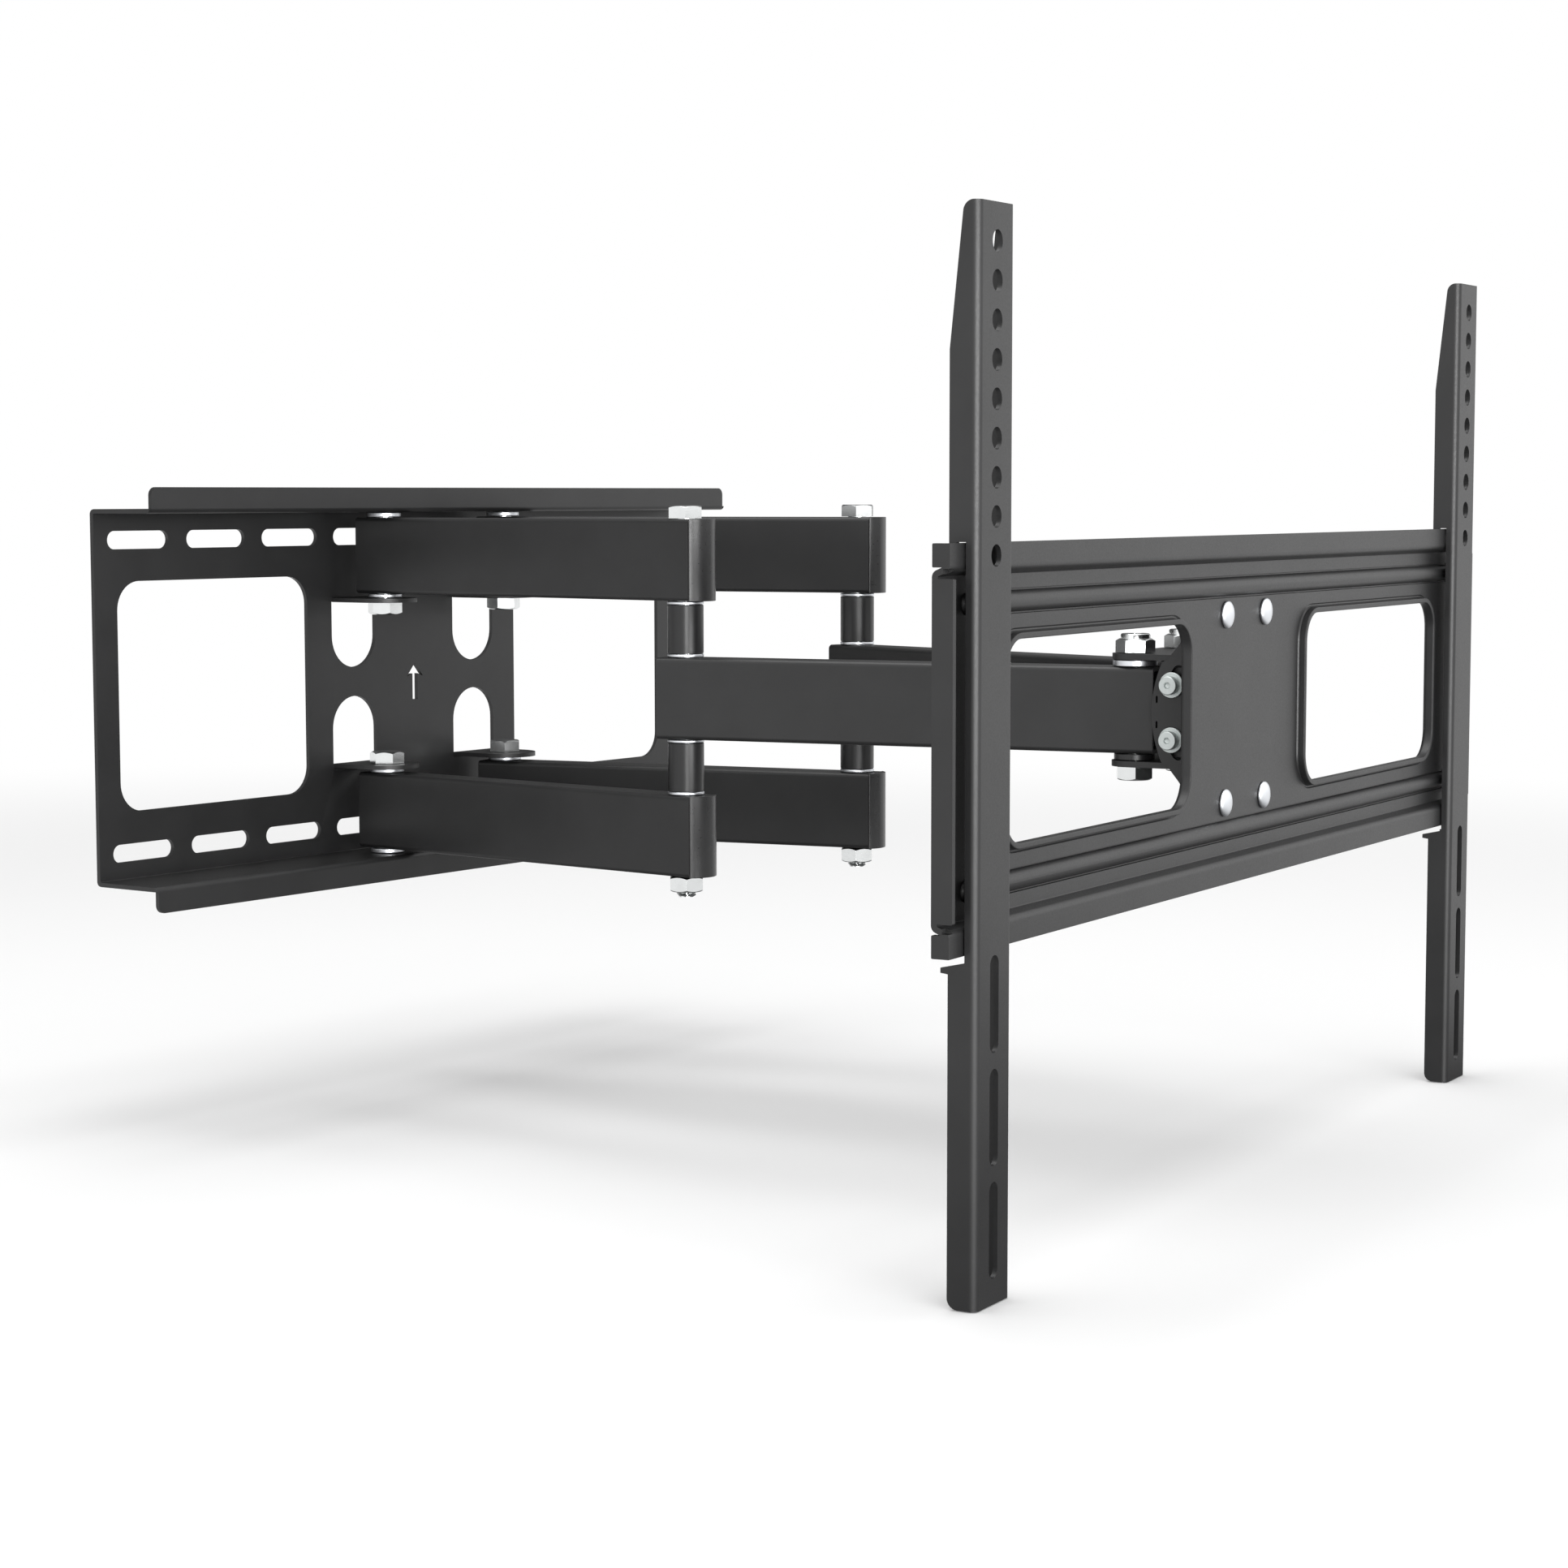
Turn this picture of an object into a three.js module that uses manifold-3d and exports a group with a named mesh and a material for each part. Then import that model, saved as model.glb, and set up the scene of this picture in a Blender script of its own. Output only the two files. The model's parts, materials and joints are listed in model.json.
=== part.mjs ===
// Full motion TV wall mount: wall plate, two folding double arms, hinged and
// tilting head, TV plate and two sliding VESA rails.
// Millimetres. +Z is up, the wall is the plane Y = 0, the TV side is -Y and +X runs
// along the wall. The origin is the centre of the wall plate's back face.
import * as THREE from 'three';
import { mergeVertices } from 'three/addons/utils/BufferGeometryUtils.js';
import Module from 'manifold-3d';

const wasm = await Module();
wasm.setup();

// ---------------------------------------------------------------- driving dimensions
const SHEET = 2.5;              // steel sheet of the TV plate and the tilt frame
const GAP = 0.3;                // free gap between neighbouring pieces

const WALL_SHEET = 2.2;
const WALL_WIDTH = 466;
const WALL_HEIGHT = 185.8;      // over the two flanges
const FLANGE_DEPTH = 41.5;      // flanges stand out this far from the wall
const LIP_HEIGHT = 10.6;        // lips stand beyond the flanges
const LIP_INSET = 1.5;          // lips end short of the plate's ends
const LIP_CORNER = 4;
const STUD_SPACING = 407;       // outermost slots, for studs 16 inches apart
const SLOT_PITCH = 53.5;
const SLOT_LENGTH = 41;
const SLOT_HEIGHT = 9;
const SLOT_LEVEL = 77.6;
const SLOTS_PER_SIDE = 4;
const WALL_WINDOW = { inner: 84, outer: 218.2, half: 57.2, radius: 14.5 };
const EAR_RADIUS = 17;          // half the width of the ears folded out of the plate
const EAR_TOP = 45.2;           // upper face of an upper ear
const EAR_BASE = EAR_TOP - WALL_SHEET;
const EAR_HOLE_TIP = 7.8;       // the holes that the ears leave end at this level
const ARROW = { tip: 8, barb: 0.6, notch: 2.2, tail: -12, headHalf: 6.6, shaftHalf: 2 };

const TUBE_HEIGHT = 40;
const TUBE_WIDTH = 20;
const TUBE_WALL = 2;
const TUBE_END = 11.5;          // tubes run on past their pivots
const TUBE_CORNER = 1.6;
const CAP = { start: 10.3, flank: 0.5, bulge: 4.4, plug: 3 };
const UPPER_LEVEL = 67.75;      // centre height of the upper inner tubes
const INNER_LENGTH = 211;       // wall pivot to elbow
const OUTER_LENGTH = 229.5;     // elbow to head pivot
const WALL_PIVOT_X = 48.5;
const WALL_PIVOT_Y = -25;
const HEAD_PIVOT_X = 28.5;
const HEAD_PIVOT_Y = 54.2;      // behind the rails' front faces

const BOLT_RADIUS = 4.9;        // M10
const BORE_RADIUS = 5.3;
const HEX_FLATS = 16;
const HEAD_HEIGHT = 6.2;
const NUT_HEIGHT = 7.6;
const WASHER_RADIUS = 9;
const WASHER_THICKNESS = 1.4;
const SPACER_RADIUS = 8.9;
const THREAD_PROUD = 2.2;       // bolts stand this far out of their nuts
const LOCK_NUT_HEIGHT = 8.8;

// rest pose: angles in degrees from straight out of the wall
const LEFT_INNER_ANGLE = 3.8;
const LEFT_OUTER_ANGLE = 12.3;
const HEAD_YAW = 5.5;

const RAIL_LENGTH = 429;
const RAIL_WIDTH = 31;
const RAIL_SHEET = 2;
const RAIL_DEPTH = 12.6;
const RAIL_X = 286;
const RAIL_DROP = 3.8;          // rail centres hang below the arms' centre
const RAIL_TAPER = { depth: 7.1, level: 154.5 };
const RAIL_CORNER = 4.5;
const RAIL_HOLE_PITCH = 15;
const RAIL_HOLES = 9;
const RAIL_HOLE_RADIUS = 4.35;
const RAIL_FIRST_HOLE = 14.8;   // below the rail's top edge
const RAIL_SLOTS = 3;
const RAIL_SLOT = { width: 7.6, length: 38.6, pitch: 44.9, first: 309.5 };
const NOTCH = { depth: 5.4, half: 81.2, hook: 74, foot: -83 };
const FINGER = { top: -81.4, tipTop: -83.6, tipLow: -85.6, low: -87, reach: 15.8 };

const PLATE_LEVEL = 1.2;        // centre height of the TV plate
const PLATE_HALF = 313.7;
const PLATE_TOP = 79.7;         // this and the levels below are above the plate's centre
const LIP_FACE = 6;             // front faces behind the rails' front faces
const WEB_FACE = 11.2;
const WEB_EDGE = 69;            // level where the sheet steps back from lip to web
const BEAD = { level: 56, half: 292, radius: 3.8, hollow: 3.4 };
const PLATE_WINDOW = { inner: 71.8, outer: 260, half: 40.9, radius: 14 };
const RIM = { height: 3.4, thickness: 2.6 };
const RIVET = { x: 23.8, z: 43.3, radius: 6.4, height: 2.6, hole: 3.4, shank: 3.1, tail: 17.3 };
const RELIEF = { level: 69, half: 1, length: 4 };
const TAB = { low: 70.5, depth: 13.6 };
const STOP = { half: 66.2, face: 4.6 };

const TILT_AXIS_Y = 0;          // the tilt arcs are centred on the rails' front plane
const TILT_SCREW = { y: 29.9, z: 12.6 };
const TILT_RANGE = 5;
const FRAME_HALF = 49;
const CHEEK_X = 39.5;           // inner faces of the tilt frame's cheeks
const CHEEK = { foot: 46, corner: [26.4, 31.5], heel: [32.6, 24], edge: [35, 23], bulge: 45 };
const CHEEK_SLIT = { y: 37.5, z: 5.8, length: 3.4, width: 1 };
const HEAD_SHEET = 2.7;
const HEAD_WEB_BACK = 22;
const HEAD_FLANGE = { back: 37.6, half: 20.5, corner: 4 };
const HEAD_EAR_ROUND = 10.6;
const HEAD_WASHER_RADIUS = 10.4;
const HEAD_BUSH_RADIUS = 9.5;
const EAR_LEVEL = 23.5;         // inner faces of the head's ears
const SCREW_HOLE = 3.2;
const SCREW_SIZE = {
  shank: 2.9, washer: 5.9, button: 4.5, socket: 2.4, thickness: 1.2, height: 5.8,
};

const DEG = Math.PI / 180;

// ---------------------------------------------------------------- materials
const COAT = { color: 0x2b2b2c, roughness: 0.45, metalness: 0.35 };
const ZINC = { color: 0xc9cccd, roughness: 0.3, metalness: 0.9 };
const NICKEL = { color: 0xd9dbdb, roughness: 0.22, metalness: 0.95 };
const SCREW = { color: 0xaab0b0, roughness: 0.5, metalness: 0.7 };
const PLASTIC = { color: 0x161617, roughness: 0.5, metalness: 0 };
const CAPS = { color: 0x3a3a3b, roughness: 0.4, metalness: 0.1 };

// ---------------------------------------------------------------- solid helpers
function toSolid(geometry, mirrored = false) {
  const bare = geometry.clone();
  bare.deleteAttribute('normal');
  bare.deleteAttribute('uv');
  const merged = mergeVertices(bare, 1e-4);
  const corners = Uint32Array.from(merged.index.array);
  if (mirrored) corners.reverse();
  return new wasm.Manifold(new wasm.Mesh({
    numProp: 3,
    vertProperties: Float32Array.from(merged.attributes.position.array),
    triVerts: corners,
  }));
}

function toGeometry(solid) {
  const mesh = solid.getMesh();
  const geometry = new THREE.BufferGeometry();
  geometry.setAttribute('position', new THREE.BufferAttribute(mesh.vertProperties, 3));
  geometry.setIndex(new THREE.BufferAttribute(mesh.triVerts, 1));
  geometry.computeVertexNormals();
  return geometry;
}

const root = new THREE.Group();

function addMesh(parent, name, solid, look) {
  const mesh = new THREE.Mesh(toGeometry(solid), new THREE.MeshStandardMaterial(look));
  mesh.name = name;
  parent.add(mesh);
  return mesh;
}

// Extrudes a shape drawn in two axes of the part along the third, from `start` for `depth`.
const ALONG = {
  // shape (x, z) extruded along +Y
  y: new THREE.Matrix4().set(1, 0, 0, 0, 0, 0, 1, 0, 0, 1, 0, 0, 0, 0, 0, 1),
  // shape (y, z) extruded along +X
  x: new THREE.Matrix4().set(0, 0, 1, 0, 1, 0, 0, 0, 0, 1, 0, 0, 0, 0, 0, 1),
  // shape (x, y) extruded along +Z
  z: new THREE.Matrix4(),
};

function extrude(shape, axis, start, depth, curveSegments = 2) {
  const geometry = new THREE.ExtrudeGeometry(shape, { depth, bevelEnabled: false, curveSegments });
  geometry.translate(0, 0, start);
  geometry.applyMatrix4(ALONG[axis]);
  return toSolid(geometry, ALONG[axis].determinant() < 0);
}

function roundedRect(x0, x1, z0, z1, radius) {
  const shape = new THREE.Shape();
  shape.absarc(x1 - radius, z1 - radius, radius, 0, 90 * DEG);
  shape.absarc(x0 + radius, z1 - radius, radius, 90 * DEG, 180 * DEG);
  shape.absarc(x0 + radius, z0 + radius, radius, 180 * DEG, 270 * DEG);
  shape.absarc(x1 - radius, z0 + radius, radius, 270 * DEG, 360 * DEG);
  shape.closePath();
  return shape;
}

function slotShape(x, z, length, width, vertical = false) {
  const halfX = vertical ? width / 2 : length / 2;
  const halfZ = vertical ? length / 2 : width / 2;
  return roundedRect(x - halfX, x + halfX, z - halfZ, z + halfZ, width / 2 - 0.01);
}

function circleShape(x, y, radius) {
  const shape = new THREE.Shape();
  shape.absarc(x, y, radius, 0, 360 * DEG);
  return shape;
}

// A vertical cylinder from z0 to z1 about (x, y).
function pillar(x, y, z0, z1, radius, segments = 14) {
  const geometry = new THREE.CylinderGeometry(radius, radius, z1 - z0, segments);
  geometry.rotateX(90 * DEG);
  geometry.translate(x, y, (z0 + z1) / 2);
  return toSolid(geometry);
}

// Section of a bent sheet: an open centre line with a round bend at each corner.
function bentSheet(path, thickness, innerRadius = 0.8, steps = 3) {
  const points = path.map(([x, y]) => new THREE.Vector2(x, y));
  const left = [];
  const right = [];
  const normalOf = (a, b) => new THREE.Vector2(-(b.y - a.y), b.x - a.x).normalize();
  const offset = (p, n, d) => p.clone().addScaledVector(n, d);
  const half = thickness / 2;
  const first = normalOf(points[0], points[1]);
  left.push(offset(points[0], first, half));
  right.push(offset(points[0], first, -half));
  for (let i = 1; i < points.length - 1; i += 1) {
    const before = points[i].clone().sub(points[i - 1]).normalize();
    const after = points[i + 1].clone().sub(points[i]).normalize();
    const turn = Math.atan2(before.cross(after), before.dot(after));
    const side = Math.sign(turn);
    const bend = innerRadius + half;
    const setback = bend * Math.tan(Math.abs(turn) / 2);
    const start = points[i].clone().addScaledVector(before, -setback);
    const centre = offset(start, normalOf(points[i - 1], points[i]), side * bend);
    for (let k = 0; k <= steps; k += 1) {
      const arm = start.clone().sub(centre).rotateAround(new THREE.Vector2(), (turn * k) / steps);
      const unit = arm.clone().normalize();
      left.push(offset(centre, unit, bend - side * half));
      right.push(offset(centre, unit, bend + side * half));
    }
  }
  const last = normalOf(points.at(-2), points.at(-1));
  left.push(offset(points.at(-1), last, half));
  right.push(offset(points.at(-1), last, -half));
  return new THREE.Shape([...left, ...right.reverse()]);
}

function ring(outer, inner, z0, z1, segments = 16) {
  const bore = pillar(0, 0, z0 - 1, z1 + 1, inner, segments);
  return pillar(0, 0, z0, z1, outer, segments).subtract(bore);
}

// A hexagonal prism with its corners chamfered at the top, at the bottom or at both.
function hexagon(z0, z1, chamferLow, chamferHigh) {
  const corner = HEX_FLATS / 2 / Math.cos(30 * DEG);
  const prism = new THREE.CylinderGeometry(corner, corner, z1 - z0, 6);
  prism.rotateX(90 * DEG);
  prism.translate(0, 0, (z0 + z1) / 2);
  const flat = HEX_FLATS / 2 - 0.4;
  const drop = 1.9 * (corner - flat) * Math.tan(30 * DEG);
  const profile = [
    new THREE.Vector2(0, z0),
    new THREE.Vector2(chamferLow ? flat : corner + 1, z0),
    new THREE.Vector2(corner + 1, chamferLow ? z0 + drop : z0),
    new THREE.Vector2(corner + 1, chamferHigh ? z1 - drop : z1),
    new THREE.Vector2(chamferHigh ? flat : corner + 1, z1),
    new THREE.Vector2(0, z1),
  ].filter((p, i, all) => i === 0 || p.distanceTo(all[i - 1]) > 1e-6);
  const cone = new THREE.LatheGeometry(profile, 12);
  cone.rotateX(90 * DEG);
  return toSolid(prism).intersect(toSolid(cone));
}

// Bolt shank with a chamfered tip at the z1 end.
function shank(z0, z1) {
  const chamfer = 1;
  const body = pillar(0, 0, z0, z1 - chamfer, BOLT_RADIUS, 12);
  const tip = new THREE.CylinderGeometry(BOLT_RADIUS - chamfer, BOLT_RADIUS, chamfer, 12);
  tip.rotateX(90 * DEG);
  tip.translate(0, 0, z1 - chamfer / 2);
  return body.add(toSolid(tip));
}

const flipped = (solid) => solid.mirror([0, 0, 1]);

// A rectangular tube along Y from `end` up to `start`, with bolt bores down through it.
function tube(start, end, level, bores) {
  const h = TUBE_HEIGHT / 2;
  const w = TUBE_WIDTH / 2;
  const t = TUBE_WALL;
  const outline = roundedRect(-w, w, level - h, level + h, TUBE_CORNER);
  outline.holes.push(roundedRect(-w + t, w - t, level - h + t, level + h - t, TUBE_CORNER / 2));
  let solid = extrude(outline, 'y', end, start - end, 1);
  for (const y of bores) {
    solid = solid.subtract(pillar(0, y, level - h - 1, level + h + 1, BORE_RADIUS));
  }
  return solid;
}

// ---------------------------------------------------------------- wall plate
function wallEar(x, level) {
  const shape = new THREE.Shape();
  shape.moveTo(x - EAR_RADIUS, -WALL_SHEET / 2);
  shape.absarc(x, WALL_PIVOT_Y, EAR_RADIUS, 180 * DEG, 360 * DEG);
  shape.lineTo(x + EAR_RADIUS, -WALL_SHEET / 2);
  shape.closePath();
  return extrude(shape, 'z', level, WALL_SHEET, 7);
}

// The hole that an ear leaves in the sheet when it is bent out: straight sides, round end.
function earHole(x, up) {
  const fold = up * EAR_BASE;
  const shape = new THREE.Shape();
  shape.moveTo(x - EAR_RADIUS, fold);
  shape.lineTo(x + EAR_RADIUS, fold);
  shape.absarc(x, up * (EAR_HOLE_TIP + EAR_RADIUS), EAR_RADIUS, 0, -up * 180 * DEG, up > 0);
  shape.closePath();
  return shape;
}

function polygon(points) {
  return new THREE.Shape(points.map(([x, y]) => new THREE.Vector2(x, y)));
}

function arrowShape() {
  const { tip, barb, notch, tail, headHalf, shaftHalf } = ARROW;
  return polygon([[0, tip], [headHalf, barb], [shaftHalf, notch], [shaftHalf, tail],
    [-shaftHalf, tail], [-shaftHalf, notch], [-headHalf, barb]]);
}

// Front view of the wall plate: the lips are a little shorter and have round corners.
function wallOutline() {
  const half = WALL_WIDTH / 2;
  const level = WALL_HEIGHT / 2;
  const lips = roundedRect(-half + LIP_INSET, half - LIP_INSET, -level - LIP_HEIGHT,
    level + LIP_HEIGHT, LIP_CORNER);
  const middle = roundedRect(-half, half, -level, level, GAP);
  return [lips, middle].map((shape) => extrude(shape, 'y', -FLANGE_DEPTH - 1, FLANGE_DEPTH + 2))
    .reduce((joined, solid) => joined.add(solid));
}

function wallPlate() {
  const half = WALL_HEIGHT / 2 - WALL_SHEET / 2;
  const front = -FLANGE_DEPTH + WALL_SHEET / 2;
  const back = -WALL_SHEET / 2;
  const lip = WALL_HEIGHT / 2 + LIP_HEIGHT;
  const section = bentSheet([[front, lip], [front, half], [back, half],
    [back, -half], [front, -half], [front, -lip]], WALL_SHEET);
  let plate = extrude(section, 'x', -WALL_WIDTH / 2, WALL_WIDTH).intersect(wallOutline());

  const cuts = [arrowShape()];
  for (const side of [-1, 1]) {
    const { inner, outer, half: high, radius } = WALL_WINDOW;
    const [x0, x1] = side < 0 ? [-outer, -inner] : [inner, outer];
    cuts.push(roundedRect(x0, x1, -high, high, radius));
    for (const up of [-1, 1]) {
      cuts.push(earHole(side * WALL_PIVOT_X, up));
      for (let i = 0; i < SLOTS_PER_SIDE; i += 1) {
        const x = side * (STUD_SPACING / 2 - i * SLOT_PITCH);
        cuts.push(slotShape(x, up * SLOT_LEVEL, SLOT_LENGTH, SLOT_HEIGHT));
      }
    }
  }
  for (const cut of cuts) {
    plate = plate.subtract(extrude(cut, 'y', -WALL_SHEET - 1, WALL_SHEET + 2));
  }
  for (const x of [-WALL_PIVOT_X, WALL_PIVOT_X]) {
    for (const up of [-1, 1]) {
      plate = plate.add(wallEar(x, up > 0 ? EAR_BASE : -EAR_TOP));
      const bore = pillar(x, WALL_PIVOT_Y, EAR_BASE - 1, WALL_HEIGHT / 2 + 1, BORE_RADIUS);
      plate = plate.subtract(up > 0 ? bore : flipped(bore));
    }
  }
  return plate;
}

// ---------------------------------------------------------------- wall pivots
// Bolt up through ear, washers, tube and flange; the nut sits on the flange.
function addWallPivot(side, up) {
  const group = new THREE.Group();
  group.position.set(side * WALL_PIVOT_X, WALL_PIVOT_Y, 0);
  root.add(group);
  const tag = `${side < 0 ? 'left' : 'right'}_${up > 0 ? 'upper' : 'lower'}`;
  const put = (solid) => (up > 0 ? solid : flipped(solid));
  const flange = WALL_HEIGHT / 2;
  const head = EAR_BASE - GAP;
  const top = UPPER_LEVEL + TUBE_HEIGHT / 2;
  const bolt = hexagon(head - HEAD_HEIGHT, head, true, false)
    .add(shank(head - 1, flange + NUT_HEIGHT + THREAD_PROUD));
  addMesh(group, `wall_bolt_${tag}`, put(bolt), ZINC);
  const nut = hexagon(flange + GAP, flange + GAP + NUT_HEIGHT, false, true)
    .subtract(pillar(0, 0, flange - 1, flange + 2 * NUT_HEIGHT, BORE_RADIUS - 0.1));
  addMesh(group, `wall_nut_${tag}`, put(nut), ZINC);
  const washer = ring(WASHER_RADIUS, BORE_RADIUS, top + GAP, flange - WALL_SHEET - GAP);
  addMesh(group, `wall_washer_${tag}`, put(washer), NICKEL);
}

// ---------------------------------------------------------------- arms
function addInnerArm(side, angle) {
  const name = side < 0 ? 'left' : 'right';
  const arm = new THREE.Group();
  arm.position.set(side * WALL_PIVOT_X, WALL_PIVOT_Y, 0);
  arm.rotation.z = side * angle * DEG;
  root.add(arm);
  const end = -INNER_LENGTH - CAP.start;
  for (const up of [-1, 1]) {
    const tag = up > 0 ? 'upper' : 'lower';
    const level = up * UPPER_LEVEL;
    addMesh(arm, `inner_tube_${name}_${tag}`,
      tube(TUBE_END, end, level, [0, -INNER_LENGTH]), COAT);
    addMesh(arm, `end_cap_${name}_${tag}`, endCap(end, level), CAPS);
  }
  addElbow(arm, name);
  return arm;
}

// A cap that plugs into the tube and closes it with a face bowed from side to side.
function endCap(tubeEnd, level) {
  const w = TUBE_WIDTH / 2;
  const h = TUBE_HEIGHT / 2;
  const rim = tubeEnd - GAP;
  const shoulder = rim - CAP.flank;
  const radius = (w ** 2 + CAP.bulge ** 2) / (2 * CAP.bulge);
  const spread = Math.asin(w / radius);
  const face = new THREE.Shape();
  face.moveTo(w, rim);
  face.lineTo(-w, rim);
  face.absarc(0, shoulder - CAP.bulge + radius, radius, 270 * DEG - spread, 270 * DEG + spread);
  face.closePath();
  const margin = TUBE_WALL + GAP;
  const plug = roundedRect(-w + margin, w - margin, level - h + margin, level + h - margin, GAP);
  return extrude(face, 'z', level - h, TUBE_HEIGHT)
    .add(extrude(plug, 'y', rim - 1, CAP.plug, 1));
}

function addElbow(arm, name) {
  const group = new THREE.Group();
  group.position.set(0, -INNER_LENGTH, 0);
  arm.add(group);
  const top = UPPER_LEVEL + TUBE_HEIGHT / 2;
  const under = UPPER_LEVEL - TUBE_HEIGHT / 2;
  const middle = TUBE_HEIGHT / 2;
  const bolt = flipped(hexagon(-top - GAP - HEAD_HEIGHT, -top - GAP, true, false)
    .add(shank(-top - 1, top + NUT_HEIGHT + THREAD_PROUD + 1)));
  addMesh(group, `elbow_bolt_${name}`, bolt, ZINC);
  const nut = hexagon(top + GAP, top + GAP + NUT_HEIGHT, false, true)
    .subtract(pillar(0, 0, top - 1, top + 2 * NUT_HEIGHT, BORE_RADIUS - 0.1));
  addMesh(group, `elbow_nut_${name}`, flipped(nut), ZINC);
  const washer = WASHER_THICKNESS;
  const levels = {
    outer_washer: [under - GAP - washer, under - GAP, WASHER_RADIUS, NICKEL],
    spacer: [middle + washer + 2 * GAP, under - washer - 2 * GAP, SPACER_RADIUS, PLASTIC],
    inner_washer: [middle + GAP, middle + GAP + washer, WASHER_RADIUS, NICKEL],
  };
  for (const up of [-1, 1]) {
    for (const [kind, [z0, z1, radius, look]] of Object.entries(levels)) {
      const solid = ring(radius, BORE_RADIUS, z0, z1);
      const tag = up > 0 ? 'upper' : 'lower';
      addMesh(group, `elbow_${kind}_${name}_${tag}`, up > 0 ? solid : flipped(solid), look);
    }
  }
}

function addOuterArm(name, elbow, angle) {
  const arm = new THREE.Group();
  arm.position.set(elbow.x, elbow.y, 0);
  arm.rotation.z = angle;
  root.add(arm);
  addMesh(arm, `outer_tube_${name}`,
    tube(TUBE_END, -OUTER_LENGTH - TUBE_END, 0, [0, -OUTER_LENGTH]), COAT);
}

// ---------------------------------------------------------------- rest pose of the arms
const out = (angle) => new THREE.Vector2(Math.sin(angle * DEG), -Math.cos(angle * DEG));
const leftWall = new THREE.Vector2(-WALL_PIVOT_X, WALL_PIVOT_Y);
const rightWall = new THREE.Vector2(WALL_PIVOT_X, WALL_PIVOT_Y);
const leftElbow = leftWall.clone().addScaledVector(out(-LEFT_INNER_ANGLE), INNER_LENGTH);
const leftHead = leftElbow.clone().addScaledVector(out(LEFT_OUTER_ANGLE), OUTER_LENGTH);
const across = new THREE.Vector2(Math.cos(HEAD_YAW * DEG), Math.sin(HEAD_YAW * DEG));
const rightHead = leftHead.clone().addScaledVector(across, 2 * HEAD_PIVOT_X);

// The right arm's two links close the loop between the wall and the head.
function closeLoop(from, to, first, second) {
  const reach = to.clone().sub(from);
  const span = reach.length();
  const lean = Math.atan2(reach.x, -reach.y);
  const cosine = (first * first + span * span - second * second) / (2 * first * span);
  const innerAngle = lean + Math.acos(cosine);
  const elbow = from.clone().add(new THREE.Vector2(Math.sin(innerAngle), -Math.cos(innerAngle))
    .multiplyScalar(first));
  const rest = to.clone().sub(elbow);
  return { innerAngle, elbow, outerAngle: Math.atan2(rest.x, -rest.y) };
}
const right = closeLoop(rightWall, rightHead, INNER_LENGTH, OUTER_LENGTH);

// ---------------------------------------------------------------- head
// Everything from here on sits in the head's own frame: x across the TV, y back to the wall,
// origin midway between the rails on the plane of their front faces.
const head = new THREE.Group();
const backward = new THREE.Vector2(-across.y, across.x);
const headOrigin = leftHead.clone().addScaledVector(across, HEAD_PIVOT_X)
  .addScaledVector(backward, -HEAD_PIVOT_Y);
head.position.set(headOrigin.x, headOrigin.y, 0);
head.rotation.z = HEAD_YAW * DEG;
root.add(head);

function headBracket() {
  const half = CHEEK_X - GAP;
  const front = HEAD_WEB_BACK - HEAD_SHEET;
  const ear = new THREE.Shape();
  ear.moveTo(-half, front);
  ear.lineTo(half, front);
  ear.absarc(HEAD_PIVOT_X, HEAD_PIVOT_Y, HEAD_EAR_ROUND, 0, 90 * DEG);
  ear.absarc(-HEAD_PIVOT_X, HEAD_PIVOT_Y, HEAD_EAR_ROUND, 90 * DEG, 180 * DEG);
  ear.closePath();
  const top = EAR_LEVEL + HEAD_SHEET;
  let solid = extrude(roundedRect(-half, half, -top, top, 1), 'y', front, HEAD_SHEET, 1);
  for (const level of [EAR_LEVEL, -top]) {
    solid = solid.add(extrude(ear, 'z', level, HEAD_SHEET, 3));
  }
  for (const side of [-1, 1]) {
    solid = solid.subtract(pillar(side * HEAD_PIVOT_X, HEAD_PIVOT_Y, -top - 1, top + 1,
      BORE_RADIUS));
    const { back, half: high, corner } = HEAD_FLANGE;
    const x0 = side > 0 ? half - HEAD_SHEET : -half;
    solid = solid.add(extrude(roundedRect(front, back, -high, high, corner), 'x', x0, HEAD_SHEET));
    for (const up of [-1, 1]) {
      const hole = circleShape(TILT_SCREW.y, up * TILT_SCREW.z, SCREW_HOLE);
      solid = solid.subtract(extrude(hole, 'x', x0 - 1, HEAD_SHEET + 2, 5));
    }
  }
  return solid;
}

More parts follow.
